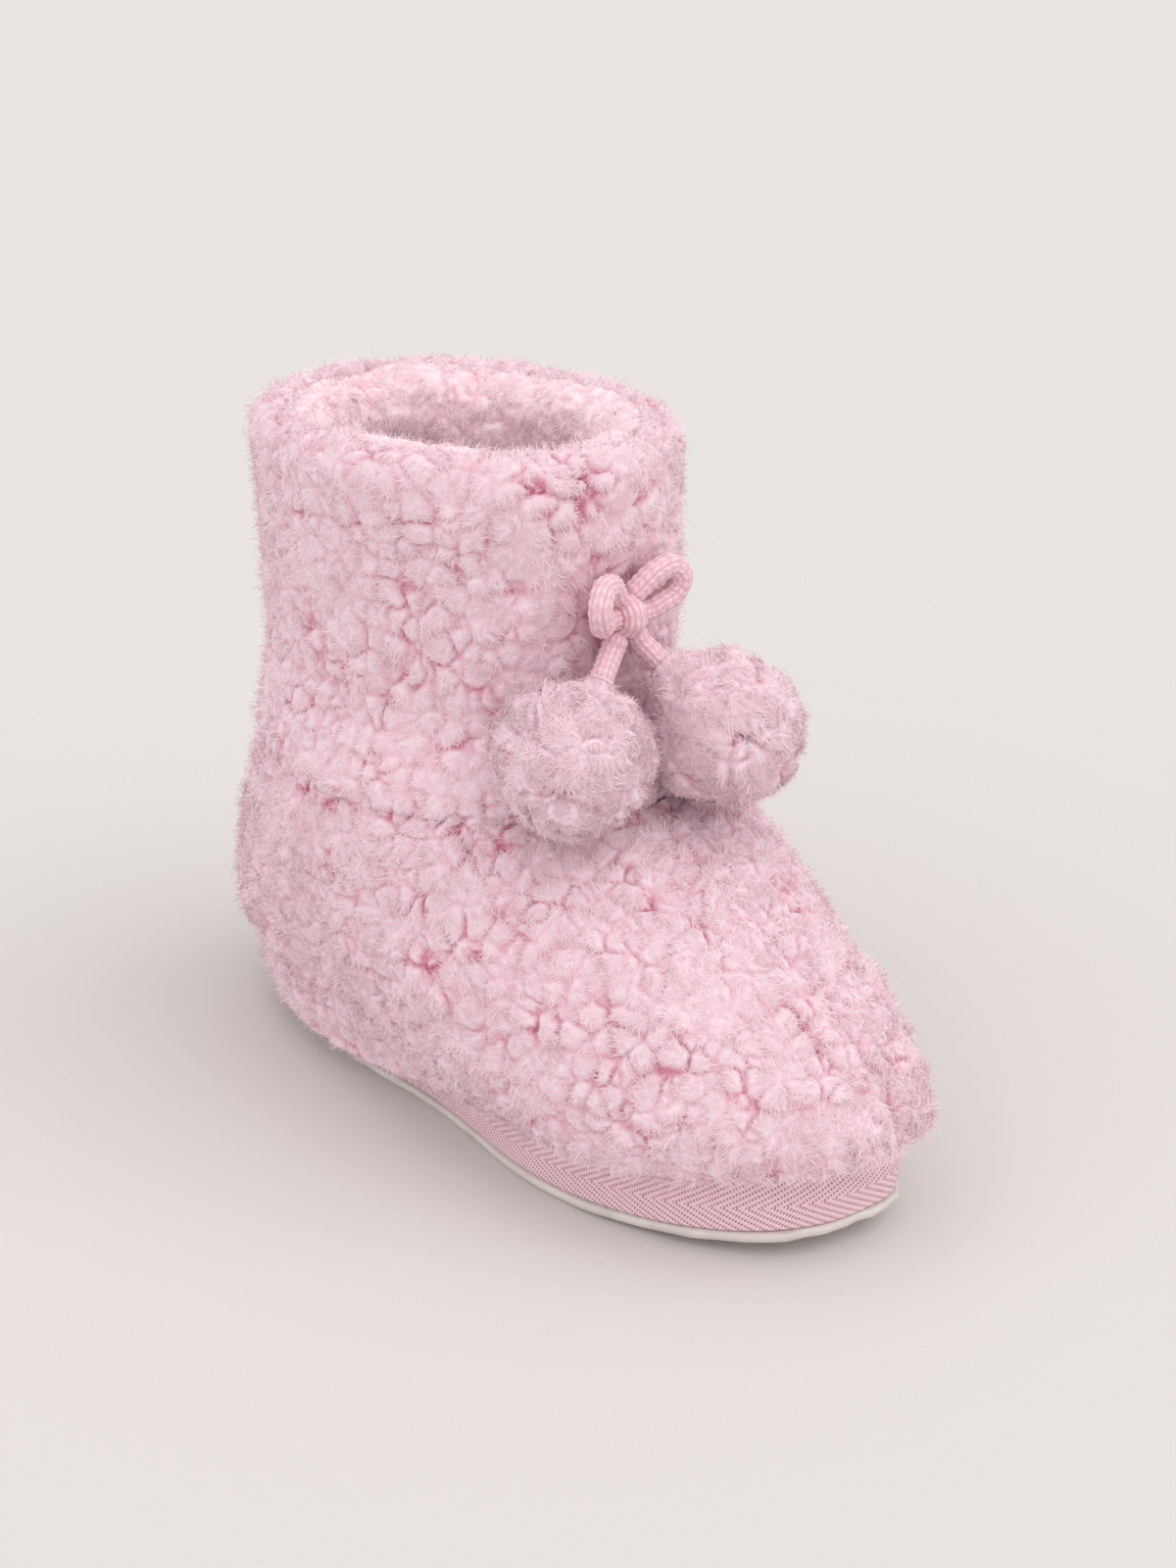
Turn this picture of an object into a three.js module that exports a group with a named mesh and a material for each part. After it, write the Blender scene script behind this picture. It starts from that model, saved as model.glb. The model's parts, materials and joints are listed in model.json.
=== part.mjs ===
import * as THREE from "three";

// Baby bootie for a right foot, in millimetres.
// +X points to the toe, +Y to the wearer's left, +Z up, and the sole rests on Z = 0.
// Every soft layer is a stated depth inside one outer skin, so the layers keep their fit when a size changes.

// Sizes that anyone may change.
const clearance = 0.3;
const layerGap = 0.45;
const soleLength = 150.4;
const heelHalfWidth = 29.2;
const ballHalfWidthOuter = 31.8;
const ballHalfWidthInner = 23.5;
const waistDipOuter = 3.9;
const waistDipInner = 4;
const toeCamber = 3.2;
const toeSpring = 4.4;
const outsoleThickness = 2;
const outsoleLip = 1.0;
const tapeHeight = 11.6;
const tapeThickness = 1.6;
const boardThickness = 1.5;
const footbedThickness = 4;
const footbedCoverThickness = 2.6;
const fleeceThickness = 7;
const liningThickness = 3.2;
const fleeceOverhang = 5.6;
const heelBulge = 7.8;
const ankleBulge = 1.2;
const sideRise = 11.5;
const toeRise = 18;
const instepReach = 17;
const instepFall = 9.3;
const ankleFall = 22;
const skirtDrop = 9.8;
const ankleHeight = 64;
const ankleCentreX = -24.6;
const ankleRadiusX = 45.8;
const ankleRadiusY = 40.5;
const legHeight = 125.7;
const legCentreX = -29.4;
const legRadiusX = 42;
const legRadiusY = 34.6;
const collarSwell = 1;
const facingThickness = 7;
const facingDepth = 28;
const seamInset = 1.6;
const threadRadius = 0.5;
const footbedClearance = 0.9;
const cordRadius = 2.1;
const knotRadius = 3.8;
const knotForward = 15;
const knotHeight = 97.5;
const pinchDepth = 3.6;
const pinchHalfWidth = 7;
const pinchHalfHeight = 8;
const pomponRadius = 13;
const pomponCoverThickness = 3.5;
const pomponNeckRadius = 3.9;
const pomponFrillRadius = 4.9;
const pomponFrillRise = 1.2;
const stopperRadius = 3.4;
const neckPivotRise = 1.6;

// Where each pompon rests on the leg: the plan angle, how far below the knot, and the way it stands off.
const pomponRests = {
  left: { angle: 0.211, drop: 26.2, away: [0.84, 0.23, 0.49] },
  right: { angle: -0.401, drop: 25.4, away: [0.76, -0.39, 0.52] },
};
const pomponGap = 0.4;
const tailStraight = 1.2;

// Heights that follow from them.
const tapeBottom = outsoleThickness + clearance;
const lastHeight = tapeBottom + tapeHeight;
const upperBottom = lastHeight + clearance;
const fleeceInner = fleeceThickness;
const liningOuter = fleeceInner + layerGap;
const liningInner = liningOuter + liningThickness;
const facingInner = liningOuter + facingThickness;
const facingBottom = legHeight - facingDepth;

// Where along the foot its width, waist, camber and toe lift begin and end: -1 is the heel and 1 the toe.
const solePower = 2.5;
const widthChange = [-0.6, 0.45];
const waistAt = -0.1;
const waistReach = 0.35;
const camberFrom = -0.2;
const liftFrom = 0.3;

// Shares of the leg's height: where its ellipse has changed to the leg's, and where the collar swells.
const legBlendTo = 0.28;
const swellBetween = [0.55, 0.95];

// How a fleece edge is turned in, and where a seam's strip of the foot's skin ends.
const turnedEdge = 2.4;
const seamStrip = 0.06;

// How finely round shapes are cut.
const footSteps = 40;
const legSteps = 40;
const roundSteps = 16;

const clamp = (value, low, high) => Math.min(high, Math.max(low, value));
const smooth = (low, high, value) => {
  const k = clamp((value - low) / (high - low), 0, 1);
  return k * k * (3 - 2 * k);
};
const vec = (x, y, z) => new THREE.Vector3(x, y, z);

const materials = {
  outsole: new THREE.MeshStandardMaterial({ color: 0xe0d6d2, roughness: 0.7, metalness: 0 }),
  foam: new THREE.MeshStandardMaterial({ color: 0xece6df, roughness: 0.9, metalness: 0 }),
  board: new THREE.MeshStandardMaterial({ color: 0xcbb79a, roughness: 0.9, metalness: 0 }),
  tape: new THREE.MeshStandardMaterial({ color: 0xd9abb4, roughness: 0.85, metalness: 0 }),
  fleece: new THREE.MeshStandardMaterial({ color: 0xe8c6cf, roughness: 1, metalness: 0 }),
  plush: new THREE.MeshStandardMaterial({ color: 0xe5b4c0, roughness: 1, metalness: 0 }),
  thread: new THREE.MeshStandardMaterial({ color: 0xc993a2, roughness: 0.8, metalness: 0 }),
  cord: new THREE.MeshStandardMaterial({ color: 0xdeb4bc, roughness: 0.85, metalness: 0 }),
  wadding: new THREE.MeshStandardMaterial({ color: 0xf3eeea, roughness: 1, metalness: 0 }),
};

const group = new THREE.Group();

// Six times the signed volume inside a list of triangles.
function signedVolume(points, faces) {
  let sum = 0;
  for (const [a, b, c] of faces) {
    sum += points[a].dot(vec(0, 0, 0).crossVectors(points[b], points[c]));
  }
  return sum;
}

// One closed body from points and triangles, turned to face outwards.
function addBody(name, material, points, faces) {
  const outward = signedVolume(points, faces) > 0;
  const index = faces.flatMap(([a, b, c]) => (outward ? [a, b, c] : [a, c, b]));
  const geometry = new THREE.BufferGeometry();
  geometry.setAttribute("position", new THREE.Float32BufferAttribute(points.flatMap((p) => p.toArray()), 3));
  geometry.setIndex(index);
  geometry.computeVertexNormals();
  const mesh = new THREE.Mesh(geometry, material);
  mesh.name = name;
  group.add(mesh);
}

// A shell swept along stations. Each station is a list of [outer, inner] point pairs.
// A closed sweep joins its last station to its first; an open one gets a flat end at each side.
function addShell(name, material, stations, closed) {
  const pairs = stations[0].length;
  const loop = 2 * pairs;
  const points = stations.flatMap((s) => [...s.map((p) => p[0]), ...s.map((p) => p[1]).reverse()]);
  const faces = [];
  const spans = closed ? stations.length : stations.length - 1;
  for (let i = 0; i < spans; i++) {
    const a = i * loop;
    const b = ((i + 1) % stations.length) * loop;
    for (let j = 0; j < loop; j++) {
      const k = (j + 1) % loop;
      faces.push([a + j, b + j, b + k], [a + j, b + k, a + k]);
    }
  }
  if (!closed) {
    const last = (stations.length - 1) * loop;
    for (let j = 0; j < pairs - 1; j++) {
      const m = loop - 1 - j;
      faces.push([j, j + 1, m - 1], [j, m - 1, m]);
      faces.push([last + j, last + m - 1, last + j + 1], [last + j, last + m, last + m - 1]);
    }
  }
  addBody(name, material, points, faces);
}

// The plan outline of the sole at angle u, grown outwards by grow.
// It is a superellipse whose half-width changes along the foot, with a dip at the waist and the toe cambered to +Y.
function soleOutline(u, grow) {
  const c = Math.cos(u);
  const s = Math.sin(u);
  const r = (Math.abs(c) ** solePower + Math.abs(s) ** solePower) ** (-1 / solePower);
  const t = r * c;
  const side = r * s;
  const ball = side < 0 ? ballHalfWidthOuter : ballHalfWidthInner;
  const dip = side < 0 ? waistDipOuter : waistDipInner;
  const widened = heelHalfWidth + (ball - heelHalfWidth) * smooth(...widthChange, t);
  const half = widened - dip * Math.exp(-(((t - waistAt) / waistReach) ** 2));
  const camber = toeCamber * clamp((t - camberFrom) / (1 - camberFrom), 0, 1) ** 2;
  return { x: (soleLength / 2 + grow) * t, y: camber + (half + grow) * side, t };
}

// The sole lifts towards the toe as the square of the distance past the ball.
function toeLift(x) {
  return toeSpring * clamp((x / (soleLength / 2) - liftFrom) / (1 - liftFrom), 0, 1.1) ** 2;
}

function solePoint(u, grow, height) {
  const plan = soleOutline(u, grow);
  return vec(plan.x, plan.y, height + toeLift(plan.x));
}

// The plan angles of half the foot, with a narrow strip beside each seam. Every layer shares them.
function halfAngles(start) {
  const count = footSteps / 2;
  const inner = Array.from({ length: count - 1 }, (_, i) => start + (Math.PI * (i + 1)) / count);
  return [start, start + seamStrip, ...inner, start + Math.PI - seamStrip, start + Math.PI];
}
const footAngles = [...halfAngles(0).slice(1), ...halfAngles(Math.PI).slice(1)];

const anglesRound = (steps) => Array.from({ length: steps }, (_, i) => (2 * Math.PI * i) / steps);

// A flat layer of the sole between two heights, whose edges below and above are given as functions of the plan angle.
function addSoleLayer(name, material, edgeLow, edgeHigh, low, high) {
  const scales = [1, 0.72, 0.38];
  const angles = footAngles;
  const steps = angles.length;
  const ringAt = (edge, height, scale) => angles.map((u) => {
    const plan = edge(u);
    const x = plan.x * scale;
    return vec(x, plan.y * scale, height + toeLift(x));
  });
  const rings = [
    ...scales.map((s) => ringAt(edgeLow, low, s)).reverse(),
    ...scales.map((s) => ringAt(edgeHigh, high, s)),
  ];
  const points = [...rings.flat(), vec(0, 0, low), vec(0, 0, high)];
  const faces = [];
  const lowCentre = points.length - 2;
  const highCentre = points.length - 1;
  for (let i = 0; i < steps; i++) {
    const j = (i + 1) % steps;
    for (let r = 0; r < rings.length - 1; r++) {
      const a = r * steps;
      const b = a + steps;
      faces.push([a + i, a + j, b + j], [a + i, b + j, b + i]);
    }
    const top = (rings.length - 1) * steps;
    faces.push([lowCentre, j, i], [highCentre, top + i, top + j]);
  }
  addBody(name, material, points, faces);
}

// The outer skin of the foot: v runs from the tape (0) to the ankle (1) along a cubic curve at plan angle u.
function footSkin(u, v) {
  const c = Math.cos(u);
  const s = Math.sin(u);
  const front = clamp(c, 0, 1) ** 1.3;
  const out = vec(c, 1.3 * s, 0).normalize();
  const rear = (1 - front) * heelBulge;
  const low = solePoint(u, fleeceOverhang, upperBottom);
  const high = vec(ankleCentreX + ankleRadiusX * c, ankleRadiusY * s, ankleHeight);
  const lowHandle = low.clone().addScaledVector(out, rear);
  lowHandle.z += sideRise * (1 - front) + toeRise * front;
  const highHandle = high.clone().add(vec(instepReach * front, 0, -instepFall * front));
  highHandle.addScaledVector(out, (1 - front) * (ankleBulge + rear / 2));
  highHandle.z -= ankleFall * (1 - front);
  const w = 1 - v;
  return low.multiplyScalar(w ** 3)
    .addScaledVector(lowHandle, 3 * v * w * w)
    .addScaledVector(highHandle, 3 * v * v * w)
    .addScaledVector(high, v ** 3);
}

// The unit normal of the foot's skin, eased to level at its bottom and top edges so that those edges stay flat.
function footNormal(u, v) {
  const step = 0.01;
  const along = footSkin(u + step, v).sub(footSkin(u - step, v));
  const up = footSkin(u, Math.min(1, v + step)).sub(footSkin(u, Math.max(0, v - step)));
  const full = vec(0, 0, 0).crossVectors(along, up).normalize();
  const level = vec(along.y, -along.x, 0).normalize();
  const edge = Math.max(1 - smooth(0, 0.14, v), smooth(0.8, 1, v));
  return full.lerp(level, edge).normalize();
}

function footPoint(u, v, depth) {
  const point = footSkin(u, v).addScaledVector(footNormal(u, v), -depth);
  if (v === 0) {
    point.z = upperBottom + toeLift(point.x);
  }
  if (v === 1) {
    point.z = ankleHeight - clearance / 2;
  }
  return point;
}

// How far the fleece hangs down outside the tape: fully at the heel and waist, hardly at all at the toe.
function skirtHeight(u) {
  const { t } = soleOutline(u, 0);
  return upperBottom - 0.6 - (skirtDrop - 0.6) * (1 - smooth(-0.4, 0.3, t));
}

const footRows = [0.06, 0.14, 0.26, 0.4, 0.54, 0.68, 0.8, 0.91, 1];
const skirtGap = outsoleLip + clearance + 0.4;

// One half of the fleece foot, from the seam at angle start round to the other seam.
// Its outside dips by seamInset along both seams and along the ankle, where the thread lies.
function addFootFleece(name, start) {
  const seamGap = 0.006;
  const angles = halfAngles(start);
  angles[0] += seamGap;
  angles[angles.length - 1] -= seamGap;
  const stations = angles.map((u, i) => {
    const atSeam = i === 0 || i === angles.length - 1;
    const dip = atSeam ? seamInset : 0;
    const skirtBottom = skirtHeight(u);
    const outerEdge = solePoint(u, fleeceOverhang - dip / 2, skirtBottom);
    const innerEdge = solePoint(u, skirtGap, skirtBottom);
    const step = solePoint(u, skirtGap, upperBottom);
    const pairs = [
      [outerEdge, innerEdge],
      [footPoint(u, 0, dip / 2), step],
    ];
    for (const v of footRows) {
      const ankleDip = v === 1 ? seamInset : 0;
      const innerPoint = v === footRows[0] ? footPoint(u, 0, fleeceInner) : footPoint(u, v, fleeceInner);
      pairs.push([footPoint(u, v, Math.max(dip, ankleDip)), innerPoint]);
    }
    return pairs;
  });
  addShell(name, materials.fleece, stations, false);
}

// The shaft's outer skin at plan angle u and height z, the given depth inside it.
// It blends from the ankle's ellipse to the leg's, swells at the collar and is pinched in behind the bow.
function legPoint(u, z, depth) {
  const rise = (z - ankleHeight) / (legHeight - ankleHeight);
  const blend = smooth(0, legBlendTo, rise);
  const swell = collarSwell * smooth(...swellBetween, rise);
  const across = Math.sin(u) * legRadiusY;
  const front = Math.cos(u) > 0 ? 1 : 0;
  const fromBow = (across / pinchHalfWidth) ** 2 + ((z - knotHeight) / pinchHalfHeight) ** 2;
  const pinch = front * pinchDepth * Math.exp(-fromBow);
  const inward = depth + pinch - swell;
  const radiusX = ankleRadiusX + (legRadiusX - ankleRadiusX) * blend - inward;
  const radiusY = ankleRadiusY + (legRadiusY - ankleRadiusY) * blend - inward;
  const centre = ankleCentreX + (legCentreX - ankleCentreX) * blend;
  return vec(centre + radiusX * Math.cos(u), radiusY * Math.sin(u), z);
}

// A ring-shaped layer of the leg from rows of [outer height, outer depth, inner height, inner depth].
function addLegLayer(name, material, rows) {
  const stations = anglesRound(legSteps).map((u) =>
    rows.map(([zOuter, outer, zInner, inner]) => [legPoint(u, zOuter, outer), legPoint(u, zInner, inner)]),
  );
  addShell(name, material, stations, true);
}

// A tube of round section along a curve through the given points.
function addTube(name, material, points, radius, sides, steps, closed = false) {
  const path = new THREE.CatmullRomCurve3(points, closed, "centripetal");
  const section = new THREE.Shape(
    Array.from({ length: sides }, (_, i) => {
      const a = (2 * Math.PI * i) / sides;
      return new THREE.Vector2(radius * Math.cos(a), radius * Math.sin(a));
    }),
  );
  const geometry = new THREE.ExtrudeGeometry(section, { steps, bevelEnabled: false, extrudePath: path });
  const mesh = new THREE.Mesh(geometry, material);
  mesh.name = name;
  group.add(mesh);
}

// A ring-shaped thread through level points, made as a shell so that it closes on itself.
function addThreadRing(name, pointAt, steps) {
  const sides = 6;
  const points = [];
  const faces = [];
  for (const u of anglesRound(steps)) {
    const centre = pointAt(u, 0);
    const out = pointAt(u, -1).sub(centre).normalize();
    for (let i = 0; i < sides; i++) {
      const a = (2 * Math.PI * i) / sides;
      const point = centre.clone().addScaledVector(out, threadRadius * Math.cos(a));
      point.z += threadRadius * Math.sin(a);
      points.push(point);
    }
  }
  for (let i = 0; i < steps; i++) {
    const a = i * sides;
    const b = ((i + 1) % steps) * sides;
    for (let j = 0; j < sides; j++) {
      const k = (j + 1) % sides;
      faces.push([a + j, b + j, b + k], [a + j, b + k, a + k]);
    }
  }
  addBody(name, materials.thread, points, faces);
}

// A turned solid whose axis runs from base along direction.
function addTurned(name, material, profile, base, direction, segments = roundSteps) {
  const geometry = new THREE.LatheGeometry(profile.map(([r, h]) => new THREE.Vector2(r, h)), segments);
  const mesh = new THREE.Mesh(geometry, material);
  mesh.quaternion.setFromUnitVectors(vec(0, 1, 0), direction.clone().normalize());
  mesh.position.copy(base);
  mesh.name = name;
  group.add(mesh);
}

// Points on an arc of a circle about [0, centre], from one angle to another measured from the downward axis.
function arc(radius, centre, from, to, steps) {
  return Array.from({ length: steps + 1 }, (_, i) => {
    const a = from + ((to - from) * i) / steps;
    const onAxis = Math.abs(Math.sin(a)) < 1e-6;
    return [onAxis ? 0 : radius * Math.sin(a), centre - radius * Math.cos(a)];
  });
}

// ---- sole ----
const grown = (grow) => (u) => soleOutline(u, grow);
addSoleLayer("outsole", materials.outsole, grown(outsoleLip - 0.6), grown(outsoleLip), 0, outsoleThickness);
const tapeInside = -tapeThickness;
const foamEdge = grown(tapeInside - clearance);
const boardBottom = lastHeight - boardThickness;
addSoleLayer("midsole_foam", materials.foam, foamEdge, foamEdge, tapeBottom, boardBottom - clearance);
addSoleLayer("insole_board", materials.board, foamEdge, foamEdge, boardBottom, lastHeight);
const tapeRows = [
  [0, 0.1],
  [0.45, 0.9],
  [1, 0.5],
];
addShell(
  "foxing_tape",
  materials.tape,
  footAngles.map((u) =>
    tapeRows.map(([k, bulge]) => {
      const height = tapeBottom + tapeHeight * k;
      return [solePoint(u, bulge, height), solePoint(u, tapeInside, height)];
    }),
  ),
  true,
);

// The plan point just inside the foot's lining at a height, which the footbed's edge follows.
// It walks up the lining's inner face to that height, then steps in by the footbed's clearance.
const insideLining = (height) => (u) => {
  const rows = [0, ...footRows.slice(1)].map((v) => footPoint(u, v, liningInner));
  const level = height + toeLift(rows[0].x);
  const above = rows.findIndex((p) => p.z > level);
  const low = rows[Math.max(0, above - 1)];
  const high = rows[Math.max(0, above)];
  const share = clamp((level - low.z) / (high.z - low.z || 1), 0, 1);
  const outward = footNormal(u, 0);
  return low.clone().lerp(high, share).addScaledVector(outward, -footbedClearance);
};
const footbedTop = upperBottom + footbedThickness;
const coverTop = footbedTop + clearance + footbedCoverThickness;
addSoleLayer("footbed_foam", materials.foam, insideLining(upperBottom), insideLining(footbedTop),
  upperBottom, footbedTop);
addSoleLayer("footbed_cover", materials.plush, insideLining(footbedTop), insideLining(coverTop),
  footbedTop + clearance, coverTop);

// ---- foot ----
addFootFleece("foot_fleece_left", 0);
addFootFleece("foot_fleece_right", Math.PI);
addShell(
  "foot_lining",
  materials.plush,
  footAngles.map((u) =>
    [0, ...footRows.slice(1)].map((v) => [footPoint(u, v, liningOuter), footPoint(u, v, liningInner)]),
  ),
  true,
);

// ---- leg ----
const legBottom = ankleHeight + clearance / 2;
const crest = legHeight;
const between = (low, high, shares) => shares.map((k) => low + (high - low) * k);
const lowRows = between(legBottom + turnedEdge, facingBottom, [0.15, 0.42, 0.7, 0.86]);
const highRows = between(facingBottom, legHeight, [0.22, 0.5, 0.72]);
addLegLayer("shaft_fleece", materials.fleece, [
  [legBottom, seamInset, legBottom, fleeceInner],
  [legBottom + turnedEdge, 0.4, legBottom + turnedEdge, fleeceInner],
  ...[...lowRows, facingBottom, ...highRows].map((z) => [z, 0, z, fleeceInner]),
  [crest - 3.4, 0.7, crest - 5, fleeceInner],
  [crest - 0.8, 2, crest - 1.6, fleeceInner - 0.9],
  [crest, 3.2, crest, 4.4],
]);
const facingCrest = crest - 0.7;
addLegLayer("collar_facing", materials.fleece, [
  [facingBottom, liningOuter, facingBottom, facingInner - 2],
  ...highRows.map((z) => [z, liningOuter, z, facingInner]),
  [crest - 5, liningOuter, crest - 6, facingInner - 0.2],
  [crest - 1.9, liningOuter + 1, crest - 2.4, facingInner - 1.2],
  [facingCrest, liningOuter + 2.8, facingCrest, facingInner - 3.2],
]);
const shaftLiningTop = facingBottom - clearance;
addLegLayer("shaft_lining", materials.plush, [
  [legBottom, liningOuter, legBottom, liningInner],
  [legBottom + turnedEdge, liningOuter, legBottom + turnedEdge, liningInner],
  ...lowRows.map((z) => [z, liningOuter, z, liningInner]),
  [shaftLiningTop, liningOuter, shaftLiningTop, liningInner],
]);

// ---- seam threads ----
const threadDepth = seamInset - threadRadius - clearance;
const ankleSeamRise = 0.4;
addThreadRing("ankle_seam", (u, shift) => legPoint(u, ankleHeight + ankleSeamRise, threadDepth + shift), legSteps);
addThreadRing("lining_seam", (u, shift) => legPoint(u, facingBottom - threadRadius, liningInner + 1 + shift), legSteps);
const seamRows = [0.1, 0.2, 0.35, 0.5, 0.65, 0.8, 0.93];
addTube("front_seam", materials.thread, seamRows.map((v) => footPoint(0, v, threadDepth - 0.1)), threadRadius, 6, 16);
addTube("heel_seam", materials.thread, seamRows.map((v) => footPoint(Math.PI, v, threadDepth - 0.1)), threadRadius, 6, 14);

// ---- bow ----
const knot = vec(knotForward, 0, knotHeight);
const endReach = Math.max(knotRadius + clearance + cordRadius * 0.35, 2 * cordRadius + clearance);
const fromKnot = (x, y, z) => knot.clone().add(vec(x, y, z));

// The six cord ends leave the knot evenly round it: y and z of a unit circle facing forward.
const cordEnd = (degrees) => {
  const a = (degrees * Math.PI) / 180;
  return fromKnot(0, endReach * Math.cos(a), endReach * Math.sin(a));
};
const halfTurns = arc(knotRadius, 0, 0, Math.PI, 10);
addTurned("bow_knot", materials.cord, halfTurns, knot, vec(0, 1, 0), 20);

// Each loop is a route chosen by hand, from the knot out and back to it.
const loops = {
  left: [[1.4, 5.4, 6.6], [2.8, 8.9, 6.9], [3.6, 11.0, 3.9], [2.8, 9.4, 0.9], [1.2, 6.9, 0]],
  right: [[1.6, -4.9, 6.7], [3.5, -8.2, 7.0], [4.6, -9.9, 4.5], [3.8, -8.9, 1.4], [1.7, -6.9, 0.1]],
};
addTube("bow_loop_left", materials.cord,
  [cordEnd(60), ...loops.left.map((p) => fromKnot(...p)), cordEnd(0)], cordRadius, 8, 14);
addTube("bow_loop_right", materials.cord,
  [cordEnd(120), ...loops.right.map((p) => fromKnot(...p)), cordEnd(180)], cordRadius, 8, 14);

// The stitch that holds the knot on the leg, behind it.
const pinchedSurface = legPoint(0, knotHeight, 0);
const tackLength = knotForward - knotRadius - pinchedSurface.x - 3 * clearance;
addTurned("bow_tack", materials.thread,
  [[0, 0], [threadRadius, 0], [threadRadius, tackLength], [0, tackLength]],
  pinchedSurface.clone().add(vec(2 * clearance, 0, 0)), vec(1, 0, 0), 8);

// ---- pompons ----
// A pompon's centre: away from where it rests, until the ball clears the leg all round.
function pomponCentre({ angle, drop, away }) {
  const height = knotHeight - drop;
  const rest = legPoint(angle, height, 0);
  const out = vec(...away).normalize();
  const heights = between(ankleHeight, knotHeight, [0, 0.1, 0.2, 0.3, 0.4, 0.5, 0.6, 0.8, 1]);
  const turns = Array.from({ length: 25 }, (_, i) => angle + (i - 12) * 0.07);
  const skin = heights.flatMap((z) => turns.map((u) => legPoint(u, z, 0)));
  const needed = pomponRadius + pomponGap;
  const centre = rest.clone().addScaledVector(out, needed);
  while (Math.min(...skin.map((p) => p.distanceTo(centre))) < needed) {
    centre.addScaledVector(out, 0.1);
  }
  return centre;
}

// Each hangs on its own tail, which leaves the knot straight and then bends towards the ball.
// Heights in these profiles run from the pompon's centre towards the knot.
function addPompon(side, leaveAt) {
  const centre = pomponCentre(pomponRests[side]);
  const leave = cordEnd(leaveAt);
  const bend = leave.clone().lerp(knot, -tailStraight / endReach);
  const axis = bend.clone().sub(centre).normalize();
  const bore = cordRadius + clearance;
  const fillingRadius = pomponRadius - pomponCoverThickness - clearance;
  const coverInside = pomponRadius - pomponCoverThickness;
  const heightOn = (radius, r) => Math.sqrt(radius ** 2 - r ** 2);
  const angleOn = (radius, r) => Math.PI - Math.asin(r / radius);
  const pivot = pomponRadius + neckPivotRise;
  const frillTop = pomponRadius + pomponFrillRise;
  const neckHeight = heightOn(pomponRadius, pomponNeckRadius) + 0.2;
  addTurned(`pompon_cover_${side}`, materials.fleece, [
    ...arc(pomponRadius, 0, 0, angleOn(pomponRadius, pomponNeckRadius + 0.6), 10),
    [pomponNeckRadius, neckHeight],
    [pomponFrillRadius, frillTop],
    [bore, frillTop],
    ...arc(coverInside, 0, 0, angleOn(coverInside, bore), 7).reverse(),
  ], centre, axis);
  const cavity = stopperRadius + clearance;
  addTurned(`pompon_filling_${side}`, materials.wadding, [
    ...arc(fillingRadius, 0, 0, angleOn(fillingRadius, bore), 7),
    ...arc(cavity, 0, 0, angleOn(cavity, bore), 5).reverse(),
  ], centre, axis);
  addTurned(`stopper_knot_${side}`, materials.cord, arc(stopperRadius, 0, 0, Math.PI, 8), centre, axis, 12);
  const ringRadius = pomponFrillRadius + 0.1;
  const ringHeight = neckHeight + 0.4;
  const ring = Array.from({ length: 7 }, (_, i) => {
    const a = (2 * Math.PI * (i % 6)) / 6;
    return [ringRadius + threadRadius * Math.cos(a), ringHeight + threadRadius * Math.sin(a)];
  });
  addTurned(`gather_thread_${side}`, materials.thread, ring, centre, axis);
  addTurned(`pompon_cord_${side}`, materials.cord, [
    [0, stopperRadius + clearance],
    [cordRadius, stopperRadius + clearance],
    ...arc(cordRadius, pivot, Math.PI / 2, Math.PI, 4),
  ], centre, axis, 12);
  const tailEnd = centre.clone().addScaledVector(axis, pivot + cordRadius + clearance);
  addTube(`bow_tail_${side}`, materials.cord, [leave, bend, tailEnd], cordRadius, 8, 5);
}
addPompon("left", -60);
addPompon("right", -120);

// The origin is the bottom centre of everything but the cord.
const cordPieces = /^(bow|pompon|gather|stopper)_/;
const box = new THREE.Box3();
for (const mesh of group.children.filter((m) => !cordPieces.test(m.name))) {
  mesh.updateMatrixWorld(true);
  box.expandByObject(mesh, true);
}
const middle = box.getCenter(vec(0, 0, 0));
for (const mesh of group.children) {
  mesh.position.x -= middle.x;
  mesh.position.y -= middle.y;
}

export default group;
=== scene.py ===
import json
import math
import bpy
import numpy as np
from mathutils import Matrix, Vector


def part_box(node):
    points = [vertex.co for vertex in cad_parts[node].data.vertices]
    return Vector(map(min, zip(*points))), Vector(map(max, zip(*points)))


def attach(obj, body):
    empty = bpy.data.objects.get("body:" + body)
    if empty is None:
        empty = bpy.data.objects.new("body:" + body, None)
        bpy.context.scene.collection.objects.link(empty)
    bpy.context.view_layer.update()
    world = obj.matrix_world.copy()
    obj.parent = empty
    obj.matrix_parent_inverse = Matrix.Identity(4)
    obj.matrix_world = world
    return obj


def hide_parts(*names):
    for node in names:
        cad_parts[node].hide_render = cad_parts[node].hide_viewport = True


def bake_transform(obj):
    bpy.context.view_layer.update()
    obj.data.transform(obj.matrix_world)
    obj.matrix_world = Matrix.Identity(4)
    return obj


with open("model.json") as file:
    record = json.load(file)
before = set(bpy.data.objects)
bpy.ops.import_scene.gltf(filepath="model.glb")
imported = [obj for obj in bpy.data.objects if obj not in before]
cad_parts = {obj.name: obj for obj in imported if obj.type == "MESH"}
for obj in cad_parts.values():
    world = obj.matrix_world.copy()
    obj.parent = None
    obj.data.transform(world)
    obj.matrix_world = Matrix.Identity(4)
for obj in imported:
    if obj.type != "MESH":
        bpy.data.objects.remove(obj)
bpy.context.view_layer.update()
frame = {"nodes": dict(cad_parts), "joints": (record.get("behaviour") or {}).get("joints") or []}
mm = 0.001
print("frame loaded")


# camera
cameraSetup = {
    "azimuth": 49.4,
    "elevation": 22.6,
    "distance": 467.8,
    "target": (0.4, 5.1, 59.8),
    "lens": 58.6,
    "farClip": 20,
}


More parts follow.
